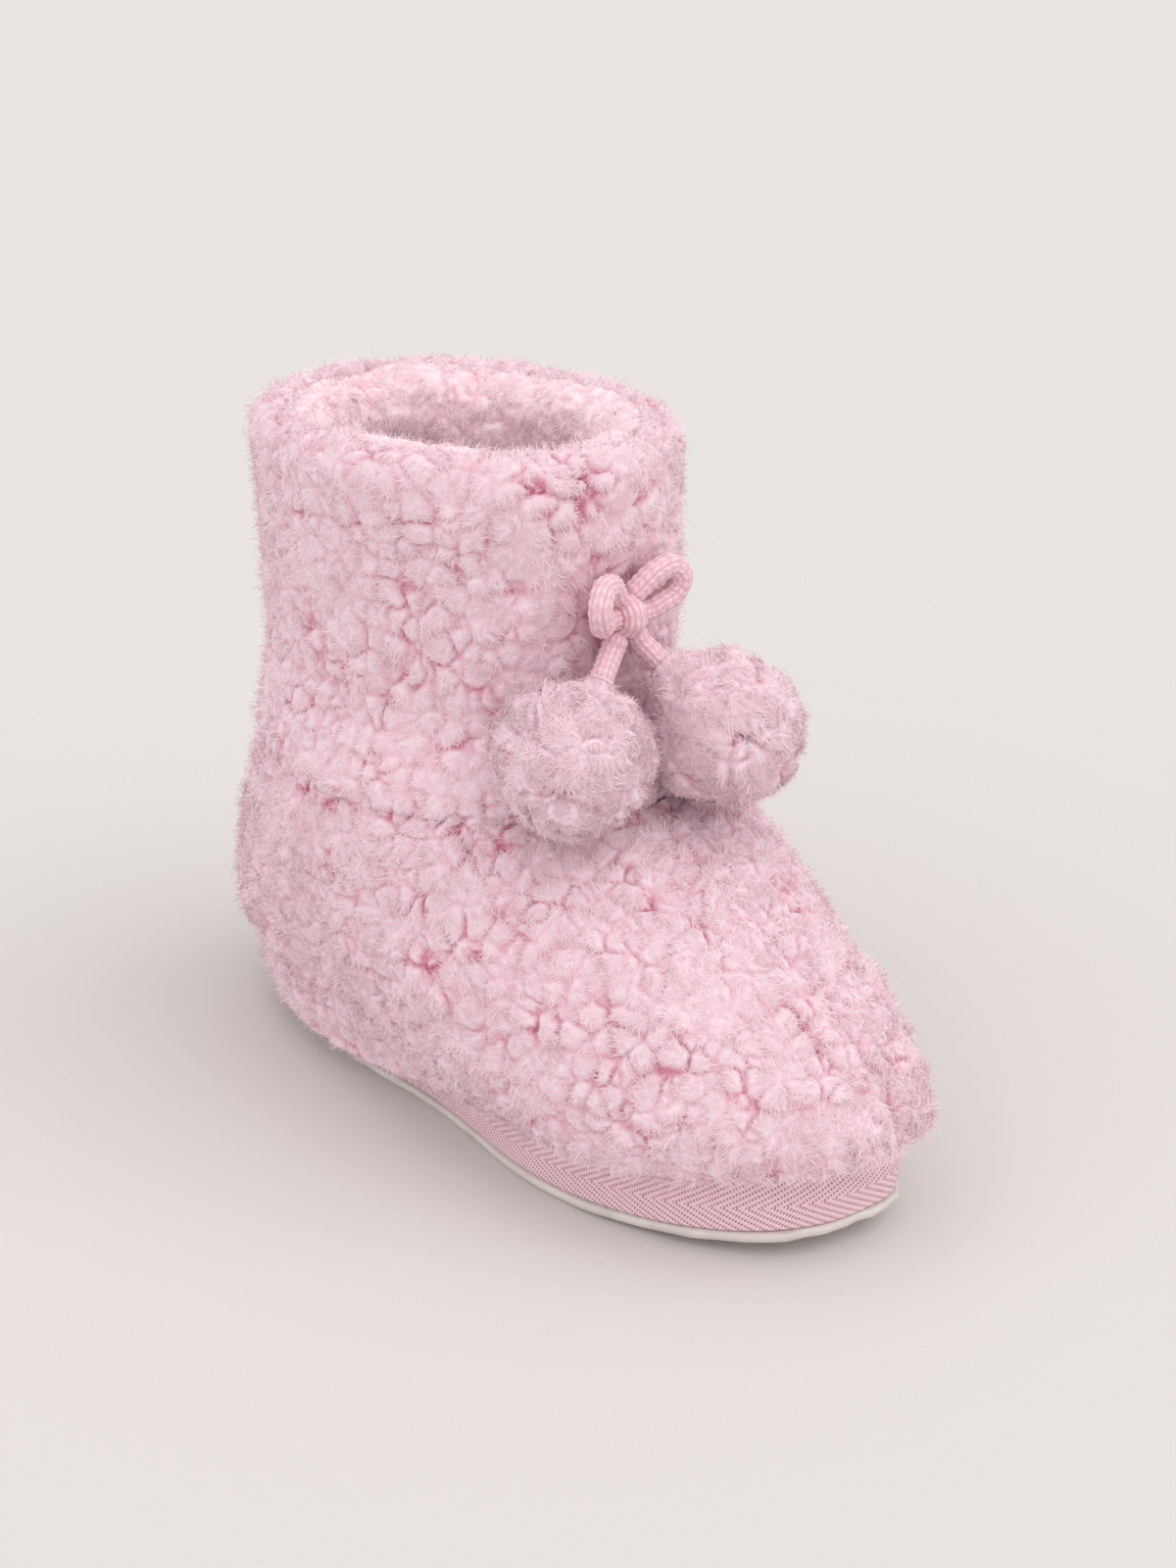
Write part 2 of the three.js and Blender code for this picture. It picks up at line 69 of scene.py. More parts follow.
def makeCamera(settings):
    # the camera stands off from its target along a line of given azimuth and elevation, and looks back
    azimuth = math.radians(settings["azimuth"])
    elevation = math.radians(settings["elevation"])
    away = Vector((
        math.sin(azimuth) * math.cos(elevation),
        -math.cos(azimuth) * math.cos(elevation),
        math.sin(elevation),
    ))
    data = bpy.data.cameras.new("camera")
    data.lens = settings["lens"]
    data.clip_end = settings["farClip"]
    camera = bpy.data.objects.new("camera", data)
    camera.location = (Vector(settings["target"]) + away * settings["distance"]) * mm
    camera.rotation_euler = away.to_track_quat("Z", "Y").to_euler()
    bpy.context.collection.objects.link(camera)
    bpy.context.scene.camera = camera


makeCamera(cameraSetup)


# the boot's skins, in millimetres
def nodeBox(name):
    # a node's lowest and highest corner
    low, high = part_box(name)
    return np.array(low) / mm, np.array(high) / mm


def nodeMiddle(name):
    # half the sum of the box's two corners
    low, high = nodeBox(name)
    return (low + high) / 2


last = {
    "length": 150.4,
    "heelHalf": 29.2,
    "ballOuter": 31.8,
    "ballInner": 23.5,
    "waistOuter": 3.9,
    "waistInner": 4.0,
    "camber": 3.2,
    "spring": 4.4,
    "overhang": 5.6,
    "heelBulge": 7.8,
    "ankleBulge": 1.2,
    "sideRise": 11.5,
    "toeRise": 18.0,
    "instepReach": 17.0,
    "instepFall": 9.3,
    "ankleFall": 22.0,
    "ankle": 64.0,
    "ankleX": -24.6,
    "ankleRx": 45.8,
    "ankleRy": 40.5,
    "legX": -29.4,
    "legRx": 42.0,
    "legRy": 34.6,
    "blendShare": 0.28,
    "swell": 1.0,
    "pinch": 3.6,
    "pinchWide": 7,
    "pinchHigh": 8,
    "knotForward": 15.0,
    "fleece": 7.0,
    "lining": 3.2,
    "gap": 0.45,
    "tapeHeight": 11.6,
    "tapeGap": 0.3,
}
knotCentre = nodeMiddle("bow_knot")
shift = np.array([knotCentre[0] - last["knotForward"], knotCentre[1], 0.0])
crest = nodeBox("shaft_fleece")[1][2]
tapeBottom = nodeBox("foxing_tape")[0][2]
upperBottom = tapeBottom + last["tapeHeight"] + last["tapeGap"]
facingBottom = nodeBox("collar_facing")[0][2]


def smooth(low, high, value):
    # a cubic ease from 0 at low to 1 at high
    k = np.clip((value - low) / (high - low), 0, 1)
    return k * k * (3 - 2 * k)


def unit(v):
    # a direction: each vector over its own length
    return v / np.maximum(np.linalg.norm(v, axis=-1, keepdims=True), 1e-9)


def fullTurn(steps):
    # equal steps round a circle
    return np.linspace(0, 2 * math.pi, steps, endpoint=False)


def lengthAlong(line):
    # the length of a bent line up to each of its points
    return np.concatenate([[0], np.cumsum(np.linalg.norm(np.diff(line, axis=0), axis=1))])


def soleOutline(u, grow):
    # superellipse of power 2.5; its half-width runs from heel to ball and dips at the waist
    c, s = np.cos(u), np.sin(u)
    r = (np.abs(c) ** 2.5 + np.abs(s) ** 2.5) ** (-1 / 2.5)
    t, side = r * c, r * s
    ball = np.where(side < 0, last["ballOuter"], last["ballInner"])
    dip = np.where(side < 0, last["waistOuter"], last["waistInner"])
    half = last["heelHalf"] + (ball - last["heelHalf"]) * smooth(-0.6, 0.45, t)
    half = half - dip * np.exp(-(((t + 0.1) / 0.35) ** 2))
    bend = last["camber"] * np.clip((t + 0.2) / 1.2, 0, 1) ** 2
    return (last["length"] / 2 + grow) * t, bend + (half + grow) * side, t


def toeLift(x):
    # the lift grows as the square of the distance past the ball
    return last["spring"] * np.clip((x / (last["length"] / 2) - 0.3) / 0.7, 0, 1.1) ** 2


def solePoint(u, grow, height):
    # the outline at a height over the floor, plus the toe's lift
    x, y, _ = soleOutline(u, grow)
    return np.stack([x, y, height + toeLift(x)], -1)


def footSkin(u, v):
    # a cubic curve from the tape (v = 0) to the ankle (v = 1) at each plan angle u
    u, v = np.broadcast_arrays(u, v)
    c, s = np.cos(u), np.sin(u)
    front = (np.clip(c, 0, 1) ** 1.3)[..., None]
    out = unit(np.stack([c, 1.3 * s, 0 * u], -1))
    rear = (1 - front) * last["heelBulge"]
    up = np.array([0, 0, 1.0])
    low = solePoint(u, last["overhang"], upperBottom)
    high = np.stack([last["ankleX"] + last["ankleRx"] * c, last["ankleRy"] * s, last["ankle"] + 0 * u], -1)
    lowHandle = low + out * rear + up * (last["sideRise"] * (1 - front) + last["toeRise"] * front)
    reach = np.array([last["instepReach"], 0, -last["instepFall"]])
    highHandle = high + reach * front + out * (1 - front) * (last["ankleBulge"] + rear / 2)
    highHandle = highHandle - up * last["ankleFall"] * (1 - front)
    v = v[..., None]
    w = 1 - v
    return low * w ** 3 + lowHandle * 3 * v * w * w + highHandle * 3 * v * v * w + high * v ** 3


def legSkin(u, z, depth=0.0):
    # an ellipse at each height, blended from the ankle's to the leg's, less the pinch behind the bow
    u, z = np.broadcast_arrays(u, z)
    rise = (z - last["ankle"]) / (crest - last["ankle"])
    blend = smooth(0, last["blendShare"], rise)
    swell = last["swell"] * smooth(0.55, 0.95, rise)
    across = np.sin(u) * last["legRy"]
    aside, above = across / last["pinchWide"], (z - knotCentre[2]) / last["pinchHigh"]
    pinch = last["pinch"] * np.exp(-(aside ** 2) - above ** 2)
    inward = depth + np.where(np.cos(u) > 0, pinch, 0) - swell
    rx = last["ankleRx"] + (last["legRx"] - last["ankleRx"]) * blend - inward
    ry = last["ankleRy"] + (last["legRy"] - last["ankleRy"]) * blend - inward
    centre = last["ankleX"] + (last["legX"] - last["ankleX"]) * blend
    return np.stack([centre + rx * np.cos(u), ry * np.sin(u), z], -1)


# noise, in whole arrays
cellPrimes = (374761393, 668265263, 2246822519)
mixSteps = ((13, 1274126177), (15, 2654435761))


def hash3(i, j, k, seed):
    # a random number from 0 to 1 for each whole-number cell: primes times its numbers, then the bits mixed
    n = np.uint32(seed * 144665 + 7)
    for number, prime in zip((i, j, k), cellPrimes):
        n = n + number.astype(np.uint32) * np.uint32(prime)
    for bits, prime in mixSteps:
        n = (n ^ (n >> np.uint32(bits))) * np.uint32(prime)
    return (n ^ (n >> np.uint32(16))).astype(np.float64) / 2.0 ** 32


def softNoise(p, scale, seed):
    # random values on a lattice, eased between: from -1 to 1
    q = p / scale
    cell = np.floor(q).astype(np.int64)
    f = q - cell
    f = f * f * (3 - 2 * f)
    total = 0
    for corner in np.ndindex(2, 2, 2):
        x, y, z = (f[:, k] if corner[k] else 1 - f[:, k] for k in range(3))
        total = total + x * y * z * hash3(*(cell + corner).T, seed)
    return total * 2 - 1


def cells(p, size, seed):
    # distance to the nearest and second nearest of jittered points, one to a cell, and the nearest's number
    q = p / size
    base = np.floor(q).astype(np.int64)
    near = np.full(len(p), 9.0)
    second = np.full(len(p), 9.0)
    number = np.zeros(len(p))
    for corner in np.ndindex(3, 3, 3):
        cell = (base + corner - 1).T
        x, y, z = (cell[k] + 0.15 + 0.7 * hash3(*cell, seed + k) - q[:, k] for k in range(3))
        tag = hash3(*cell, seed + 3)
        d = np.sqrt(x * x + y * y + z * z) / (0.8 + 0.42 * tag)
        closer = d < near
        second = np.where(closer, near, np.minimum(second, d))
        number = np.where(closer, tag, number)
        near = np.where(closer, d, near)
    return near, second, number


# meshes
def addMesh(name, points, blocks, values=None, uv=None, uvBlocks=None):
    # points in millimetres; each block of faces is an array of rows of three or of four corners;
    # uv holds a row for each number in uvBlocks, which match the faces corner by corner
    mesh = bpy.data.meshes.new(name)
    co = (np.asarray(points, float).reshape(-1, 3) * mm).astype(np.float32)
    blocks = [np.asarray(b, np.int32) for b in blocks if len(b)]
    corners = np.concatenate([b.ravel() for b in blocks])
    counts = np.concatenate([np.full(len(b), b.shape[1], np.int32) for b in blocks])
    starts = np.concatenate([[0], np.cumsum(counts)[:-1]]).astype(np.int32)
    mesh.vertices.add(len(co))
    mesh.vertices.foreach_set("co", co.ravel())
    mesh.loops.add(len(corners))
    mesh.loops.foreach_set("vertex_index", corners)
    mesh.polygons.add(len(counts))
    mesh.polygons.foreach_set("loop_start", starts)
    mesh.polygons.foreach_set("use_smooth", np.ones(len(counts), bool))
    mesh.update(calc_edges=True)
    for key, data in (values or {}).items():
        layer = mesh.attributes.new(key, "FLOAT", "POINT")
        layer.data.foreach_set("value", np.asarray(data, np.float32).ravel())
    if uv is not None:
        layer = mesh.uv_layers.new(name="UVMap")
        places = np.concatenate([np.asarray(b, np.int32).ravel() for b in uvBlocks])
        layer.data.foreach_set("uv", np.asarray(uv, np.float32)[places].ravel())
    mesh.validate()
    piece = bpy.data.objects.new(name, mesh)
    bpy.context.collection.objects.link(piece)
    return piece


def turnOutward(points, blocks):
    # six times the signed volume tells which way a closed piece faces
    total = 0.0
    for block in blocks:
        for k in range(1, block.shape[1] - 1):
            a, b, c = points[block[:, 0]], points[block[:, k]], points[block[:, k + 1]]
            total += np.einsum("ij,ij->", a, np.cross(b, c))
    return blocks if total > 0 else [block[:, ::-1] for block in blocks]


def gridFaces(rows, columns, rowsClose, columnsClose):
    # quads of a grid of points, joined round in either direction
    i = np.arange(rows if rowsClose else rows - 1)
    j = np.arange(columns if columnsClose else columns - 1)
    i, j = np.meshgrid(i, j, indexing="ij")
    k, n = (i + 1) % rows, (j + 1) % columns
    return np.stack([i * columns + j, k * columns + j, k * columns + n, i * columns + n], -1).reshape(-1, 4)


def gridNormals(points, rowsClose, columnsClose):
    # the cross product of the two directions of the grid
    def slope(p, axis, closed):
        # the next point less the one before
        if closed:
            return np.roll(p, -1, axis) - np.roll(p, 1, axis)
        return np.gradient(p, axis=axis)
    return unit(np.cross(slope(points, 0, rowsClose), slope(points, 1, columnsClose)))


def zipRows(outer, inner):
    # triangles between two rows of points of different lengths
    n, m = len(outer), len(inner)
    to = np.round(np.arange(n) * (m - 1) / (n - 1)).astype(int)
    a = np.stack([outer[:-1], outer[1:], inner[to[:-1]]], -1)
    step = np.nonzero(to[1:] != to[:-1])[0]
    b = np.stack([outer[step + 1], inner[to[step + 1]], inner[to[step]]], -1)
    return np.concatenate([a, b])


def shell(name, outer, inner, closed, values=None):
    # a closed wall: rows of outer points and rows of inner points back to the start, at every station
    loops = np.concatenate([outer, inner[:, ::-1]], 1)
    stations, count = loops.shape[:2]
    points = loops.reshape(-1, 3)
    blocks = [gridFaces(stations, count, closed, True)]
    if not closed:
        near = np.arange(outer.shape[1])
        back = np.arange(count - 1, outer.shape[1] - 1, -1)
        tail = (stations - 1) * count
        blocks += [zipRows(near, back), zipRows(tail + near, tail + back)[:, ::-1]]
    blocks = turnOutward(points - points.mean(0), blocks)
    extra = {}
    for key, data in (values or {}).items():
        # the inner rows take a fixed darker value: painted shade on the wall's hidden back
        extra[key] = np.concatenate([data, np.full((stations, inner.shape[1]), 0.6)], 1).reshape(-1)
    return addMesh(name, points, blocks, extra)


def turned(name, rows, first, final, values=None):
    # rings of points closed at both poles by one point each
    count = rows.shape[1]
    points = np.concatenate([rows.reshape(-1, 3), first[None], final[None]])
    j = np.arange(count)
    n = (j + 1) % count
    low, high = len(points) - 2, len(points) - 1
    top = (len(rows) - 1) * count
    blocks = [gridFaces(len(rows), count, False, True), np.stack([j * 0 + low, n, j], -1),
              np.stack([j * 0 + high, top + j, top + n], -1)]
    blocks = turnOutward(points - points.mean(0), blocks)
    extra = {key: np.concatenate([data.reshape(-1), data[:1].mean()[None], data[-1:].mean()[None]])
             for key, data in (values or {}).items()}
    return addMesh(name, points, blocks, extra)


# shader helper
class Sock:
    # wraps a node's output so that sums can be written as sums
    def __init__(self, tree, output):
        self.tree, self.output = tree, output

    def maths(self, operation, *values):
        # one sum node; each value is a number or another output
        node = self.tree.nodes.new("ShaderNodeMath")
        node.operation = operation
        for socket, value in zip(node.inputs, values):
            if isinstance(value, Sock):
                self.tree.links.new(value.output, socket)
            else:
                socket.default_value = value
        return Sock(self.tree, node.outputs[0])

    def __add__(self, other):
        return self.maths("ADD", self, other)

    __radd__ = __add__

    def __sub__(self, other):
        return self.maths("SUBTRACT", self, other)

    def __rsub__(self, other):
        return self.maths("SUBTRACT", other, self)

    def __mul__(self, other):
        return self.maths("MULTIPLY", self, other)

    __rmul__ = __mul__

    def __truediv__(self, other):
        return self.maths("DIVIDE", self, other)

    def __rtruediv__(self, other):
        return self.maths("DIVIDE", other, self)

    def __abs__(self):
        return self.maths("ABSOLUTE", self)

    def wave(self):
        # a cosine from 0 to 1 that repeats at every whole number
        return self.maths("COSINE", self * (2 * math.pi)) * 0.5 + 0.5


class Finish:
    # one material; keyword values go straight to the shader's own sockets
    def __init__(self, name, **sockets):
        self.material = bpy.data.materials.new(name)
        self.material.use_nodes = True
        self.tree = self.material.node_tree
        self.shader = self.tree.nodes["Principled BSDF"]
        for key, value in sockets.items():
            self.shader.inputs[key.replace("_", " ")].default_value = value

    def node(self, kind, output=0, sockets=None, stops=(), **settings):
        # any node: its settings and a ramp's stops first, then its sockets' values or links
        made = self.tree.nodes.new(kind)
        for key, value in settings.items():
            setattr(made, key, value)
        for index, (place, colour) in enumerate(stops):
            elements = made.color_ramp.elements
            stop = elements[index] if index < 2 else elements.new(place)
            stop.position = place
            stop.color = (*colour, 1)
        for key, value in (sockets or {}).items():
            if isinstance(value, Sock):
                self.tree.links.new(value.output, made.inputs[key])
            else:
                made.inputs[key].default_value = value
        return Sock(self.tree, made.outputs[output])

    def feed(self, socket, value):
        # a varying value into one of the shader's own sockets
        self.tree.links.new(value.output, self.shader.inputs[socket])

    def noise(self, scale, detail):
        # soft noise in the object's own coordinates, from 0 to 1
        place = self.node("ShaderNodeTexCoord", "Object")
        return self.node("ShaderNodeTexNoise", "Fac", {"Vector": place, "Scale": scale, "Detail": detail})

    def paint(self, factor, *stops):
        # the base colour, from a ramp whose stops are given as place and colour
        self.feed("Base Color", self.node("ShaderNodeValToRGB", sockets={0: factor}, stops=stops))

    def bump(self, height, strength, distance):
        # the shader's normal, tilted by a height
        self.feed("Normal", self.node("ShaderNodeBump", sockets={
            "Strength": strength, "Distance": distance, "Height": height}))


def srgb(r, g, b):
    # a screen colour from 0 to 255 as the linear light the shader wants
    return tuple(((v / 255 + 0.055) / 1.055) ** 2.4 if v > 10 else v / 255 / 12.92 for v in (r, g, b))


# the fleece's colours by depth: light tips, and painted shade that darkens the lumps' sides and the creases
fleeceLook = {
    "tip": srgb(239, 215, 223),
    "side": srgb(232, 192, 204),
    "hollow": srgb(200, 108, 136),
    "patch": 190.0,
    "patchShare": 0.35,
    "grain": 2600.0,
    "grainDepth": 0.0004,
}
# painted light: the inside of the collar takes lighter copies of the fleece's colours
collarLitLook = dict(fleeceLook, tip=srgb(254, 228, 234), side=srgb(252, 210, 219), hollow=srgb(228, 140, 160))
strandLook = {"root": srgb(237, 201, 211), "end": srgb(252, 234, 239)}
# the cord's deep colour is painted shade between its stitches
cordLook = {"light": srgb(240, 211, 217), "deep": srgb(222, 172, 184)}
sewingLook = {"light": srgb(226, 170, 186), "deep": srgb(190, 120, 142)}


def fleeceFinish(name, look, litShift=0.0):
    # tip, side and hollow colours by depth in the crease, the darker ones painted shade in the creases and
    # down the lumps' sides; shifted in soft patches, and moved by the last argument towards the tip colour,
    # which is painted light
    made = Finish(name, Roughness=0.95, Sheen_Weight=0.35, Sheen_Roughness=0.6,
                  Subsurface_Weight=0.12, Subsurface_Scale=0.004, Specular_IOR_Level=0.2)
    made.shader.inputs["Subsurface Radius"].default_value = (1.0, 0.45, 0.5)
    hollow = made.node("ShaderNodeAttribute", "Fac", attribute_name="hollow")
    shade = hollow + (made.noise(look["patch"], 2.0) - 0.5) * look["patchShare"] + litShift
    made.paint(shade, (0.08, look["tip"]), (0.9, look["hollow"]), (0.42, look["side"]))
    made.bump(made.noise(look["grain"], 3.0), 0.55, look["grainDepth"])
    return made.material


def strandFinish(name, look):
    # each fibre takes its own tone
    made = Finish(name, Roughness=0.9, Sheen_Weight=0.3, Specular_IOR_Level=0.25)
    tone = made.node("ShaderNodeAttribute", "Fac", attribute_name="tone")
    made.paint(tone, (0.0, look["root"]), (1.0, look["end"]))
    return made.material


def plushFinish(name, base, dark, grain=900.0, nap=0.0005):
    # a short pile: two tones in patches and a fine nap
    made = Finish(name, Roughness=0.95, Sheen_Weight=0.3, Sheen_Roughness=0.5, Specular_IOR_Level=0.2)
    made.paint(made.noise(140.0, 3.0), (0.3, dark), (0.72, base))
    made.bump(made.noise(grain, 4.0), 0.7, nap)
    return made.material


def cordFinish(name, look):
    # light on the stitch tops and darker between them, which is painted shade, with lint
    made = Finish(name, Roughness=0.8, Sheen_Weight=0.25, Sheen_Roughness=0.5, Specular_IOR_Level=0.25)
    hollow = made.node("ShaderNodeAttribute", "Fac", attribute_name="hollow")
    lint = made.noise(1500.0, 3.0)
    made.paint(hollow + (lint - 0.5) * 0.5, (0.1, look["light"]), (0.9, look["deep"]))
    made.bump(lint, 0.5, 0.0003)
    return made.material


def grainFinish(name, base, dark, scale, roughness=0.7):
    # a moulded or pressed sheet: faint mottling and a fine grain
    made = Finish(name, Specular_IOR_Level=0.35)
    patch = made.noise(scale / 8, 3.0)
    made.paint(patch, (0.3, dark), (0.7, base))
    made.feed("Roughness", (patch - 0.5) * 0.2 + roughness)
    made.bump(made.noise(scale, 3.0), 0.4, 0.0002)
    return made.material


fleece = fleeceFinish("fleece", fleeceLook)
# painted light: the collar's and the pompons' fleece are lighter copies of the same fleece, moved towards the
# tip colour
collarLitFleece = fleeceFinish("collarLitFleece", collarLitLook, -0.25)
pompon = fleeceFinish("pomponLitFleece", fleeceLook, -0.2)
strands = strandFinish("fleeceFibres", strandLook)
plush = plushFinish("plushLining", srgb(240, 188, 196), srgb(226, 164, 176))
knitted = cordFinish("knittedCord", cordLook)
sewing = cordFinish("sewingThread", sewingLook)
soleFoam = grainFinish("soleFoam", srgb(226, 218, 214), srgb(208, 198, 193), 900.0)
blownFoam = grainFinish("blownFoam", srgb(238, 232, 224), srgb(222, 214, 204), 1500.0, 0.9)
pressedBoard = grainFinish("pressedBoard", srgb(206, 186, 158), srgb(184, 160, 130), 1100.0, 0.9)
wadding = plushFinish("wadding", srgb(246, 242, 238), srgb(230, 224, 220), 700.0, 0.0008)


def placed(points):
    # from the boot's own middle to the shared frame
    return points + shift


def fit(piece, material, body, slot, *nodes):
    # a piece's material, the body it moves with, its slot, which is not used, and the nodes it stands for
    piece.data.materials.append(material)
    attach(piece, body)
    if nodes:
        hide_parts(*nodes)


# bow
bowCord = {
    "radius": 2.1,
    "endReach": 4.835,
    "columns": 6,
    "pitch": 1.55,
    "lean": 0.5,
    "relief": 0.26,
    "step": 0.17,
    "around": 54,
    "ground": 0.62,
    "loopLeft": [(1.2, 5.4, 6.9), (1.8, 8.9, 7.7), (1.9, 10.9, 5.1), (1.3, 9.5, 2.2), (0.8, 6.9, 1.0)],
    "loopRight": [(1.6, -4.9, 6.7), (3.5, -8.2, 7.0), (4.6, -9.9, 4.5), (3.8, -8.9, 1.4), (1.7, -6.9, 0.1)],
    "tailStraight": 1.2,
    "hookRadius": 2.7,
    "neckReach": 3,
    "knotWrap": 2.05,
    "knotRadius": 1.95,
    "knotWiden": 1.25,
    "knotStitches": 8,
    "knotSteps": 60,
    "knotAround": 48,
}
jointAt = {j["name"]: np.array(j["pos_m"]) / mm for j in frame["joints"]}


def cordEnd(degrees):
    # the cord ends leave the knot on a circle that faces forward
    a = math.radians(degrees)
    return knotCentre + bowCord["endReach"] * np.array([0, math.cos(a), math.sin(a)])


def curveThrough(points, step):
    # a centripetal curve through the points, then points a step apart along it
    points = np.array(points, float)
    full = np.concatenate([[2 * points[0] - points[1]], points, [2 * points[-1] - points[-2]]])
    gap = np.linalg.norm(np.diff(full, axis=0), axis=1)[:, None] ** 0.5
    a, b, c, d = full[:-3], full[1:-2], full[2:-1], full[3:]
    first, mid, final = gap[:-2], gap[1:-1], gap[2:]
    leave = ((b - a) / first - (c - a) / (first + mid) + (c - b) / mid) * mid
    arrive = ((c - b) / mid - (d - b) / (mid + final) + (d - c) / final) * mid
    t = np.linspace(0, 1, 24, endpoint=False)[None, :, None]
    b, c, leave, arrive = b[:, None], c[:, None], leave[:, None], arrive[:, None]
    line = (b * (2 * t ** 3 - 3 * t ** 2 + 1) + leave * (t ** 3 - 2 * t ** 2 + t)
            + c * (3 * t ** 2 - 2 * t ** 3) + arrive * (t ** 3 - t ** 2)).reshape(-1, 3)
    line = np.concatenate([line, points[-1:]])
    run = lengthAlong(line)
    at = np.linspace(0, run[-1], max(3, int(run[-1] / step)))
    return np.stack([np.interp(at, run, line[:, k]) for k in range(3)], -1), at


def knitRelief(run, turn, settings):
    # columns of V stitches: two rounded legs to a column, each wave leaning away from the column's middle
    column = turn * settings["columns"] / (2 * math.pi)
    x = column - np.floor(column)
    leg = np.abs(2 * x - 1)
    ridge = np.abs(np.sin(2 * math.pi * x)) ** 0.8
    wave = 0.5 + 0.5 * np.cos(2 * math.pi * (run / settings["pitch"] + settings["lean"] * leg))
    return ridge * (0.4 + 0.6 * wave)


def knitCord(name, path, run, reference, settings):
    # a ring of points at each step of the path, at right angles to it, with the knit's relief and round ends
    along = unit(np.gradient(path, axis=0))
    side = unit(np.cross(along, reference))
    up = np.cross(side, along)
    ease = np.linspace(0.12, math.pi / 2, 9)[:-1]
    radius = settings["radius"]

    def capRows(end, direction):
        # the middles of a half-sphere's rings
        return end + direction * radius * np.cos(ease)[:, None]

    centres = np.concatenate([capRows(path[0], -along[0]), path, capRows(path[-1], along[-1])[::-1]])
    size = np.concatenate([np.sin(ease), np.ones(len(path)), np.sin(ease)[::-1]])
    pick = np.concatenate([np.zeros(len(ease), int), np.arange(len(path)), np.full(len(ease), len(path) - 1)])
    s = np.concatenate([run[0] - radius * np.cos(ease), run, run[-1] + radius * np.cos(ease)[::-1]])
    turn = fullTurn(settings["around"])
    relief = knitRelief(s[:, None], turn[None], settings)
    ring = side[pick][:, None] * np.cos(turn)[None, :, None] + up[pick][:, None] * np.sin(turn)[None, :, None]
    reach = size[:, None] * (radius + settings["relief"] * (relief - settings["ground"]))
    rows = centres[:, None] + ring * reach[..., None]
    ends = (path[0] - along[0] * radius, path[-1] + along[-1] * radius)
    # the hollow value darkens the cord between its stitches: painted shade
    return turned(name, rows, *ends, {"hollow": 1 - relief})


def inMetres(points):
    # plain numbers in metres, a tuple for each point
    return [tuple(float(c) for c in p * mm) for p in points]


def loopRoute(settings):
    # from the knot round the left loop, back through the knot and round the right loop
    left = [knotCentre + np.array(p) for p in settings["loopLeft"]]
    right = [knotCentre + np.array(p) for p in settings["loopRight"]]
    return [cordEnd(60), *left, cordEnd(0), knotCentre, cordEnd(180), *right[::-1], cordEnd(120)]


def makeBow(settings):
    # both loops as one length of cord along their route
    path, run = curveThrough(loopRoute(settings), settings["step"])
    loops = knitCord("bowLoops", path, run, np.array([1.0, 0, 0]), settings)
    fit(loops, knitted, "boot", "cord", "bow_loop_left", "bow_loop_right")
    inMetres(path[:1])[0]
    inMetres(path[::4])
    print("bow loops", round(float(run[-1]), 1), "mm")


def makeKnot(settings):
    # one tight turn of the same cord over the bow's middle: a ring, a little wider than the cord is thick
    turn = fullTurn(settings["knotSteps"])
    section = fullTurn(settings["knotAround"])
    wrap = settings["knotWrap"]
    tube = dict(settings, radius=settings["knotRadius"], pitch=2 * math.pi * wrap / settings["knotStitches"])
    relief = knitRelief(turn[:, None] * wrap, section[None], tube)
    out = np.stack([np.cos(turn), 0 * turn, np.sin(turn)], -1)
    reach = tube["radius"] + settings["relief"] * (relief - settings["ground"])
    rows = (knotCentre + out[:, None] * (wrap + reach * np.cos(section)[None])[..., None]
            + np.array([0, settings["knotWiden"], 0]) * (reach * np.sin(section)[None])[..., None])
    faces = gridFaces(settings["knotSteps"], settings["knotAround"], True, True)
    blocks = turnOutward(rows.reshape(-1, 3) - knotCentre, [faces])
    # the hollow value darkens the knot between its stitches: painted shade
    knot = addMesh("bowKnot", rows, blocks, {"hollow": (1 - relief).reshape(-1)})
    fit(knot, knitted, "boot", "cord", "bow_knot")


def makeTail(side, settings):
    # from the knot's surface through the pompon's neck, into the stopper and back on itself
    leave = jointAt[f"tail_{side}_lift"]
    pivot = jointAt[f"pompon_{side}_swing"]
    centre = nodeMiddle(f"stopper_knot_{side}")
    bend = leave + (leave - knotCentre) * settings["tailStraight"] / settings["endReach"]
    axis = unit(centre - pivot)
    aside = unit(np.cross(axis, np.array([1.0, 0, 0])))
    hook = []
    for a in np.linspace(0, math.pi, 7):
        hook.append(centre + settings["hookRadius"] * (aside * (1 - math.cos(a)) + axis * math.sin(a)))
    above, below = (pivot + axis * settings["neckReach"] * k for k in (-1, 1))
    route = [leave, bend, above, pivot, pivot + axis * 4, centre - axis * 4, *hook, hook[-1] - axis * 1.5]
    path, run = curveThrough(route, settings["step"])
    tail = knitCord(f"bowTail{side.title()}", path, run, np.cross(axis, aside), settings)
    tail.data.materials.append(knitted)
    inMetres([above])[0]
    inMetres([below])[0]
    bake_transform(tail)
    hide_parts(f"bow_tail_{side}", f"pompon_cord_{side}")
    inMetres([leave])[0]
    inMetres(path[::4])
    print("tail", side, round(float(run[-1]), 1), "mm")


makeBow(bowCord)
makeKnot(bowCord)
makeTail("left", bowCord)
makeTail("right", bowCord)


# curly fleece
curl = {
    "size": 4.3,
    "height": 1.6,
    "crease": 0.9,
    "creaseWide": 0.17,
    "fineSize": 1.9,
    "fineHeight": 0.4,
    "fineWide": 0.2,
    "domeReach": 0.95,
    "unevenSize": 4.5,
    "roll": 0.95,
    "rollSize": 9.5,
}


def warped(p, scale, seed):
    # a soft noise for each of the three directions
    return np.stack([softNoise(p, scale, seed + k) for k in range(3)], -1)


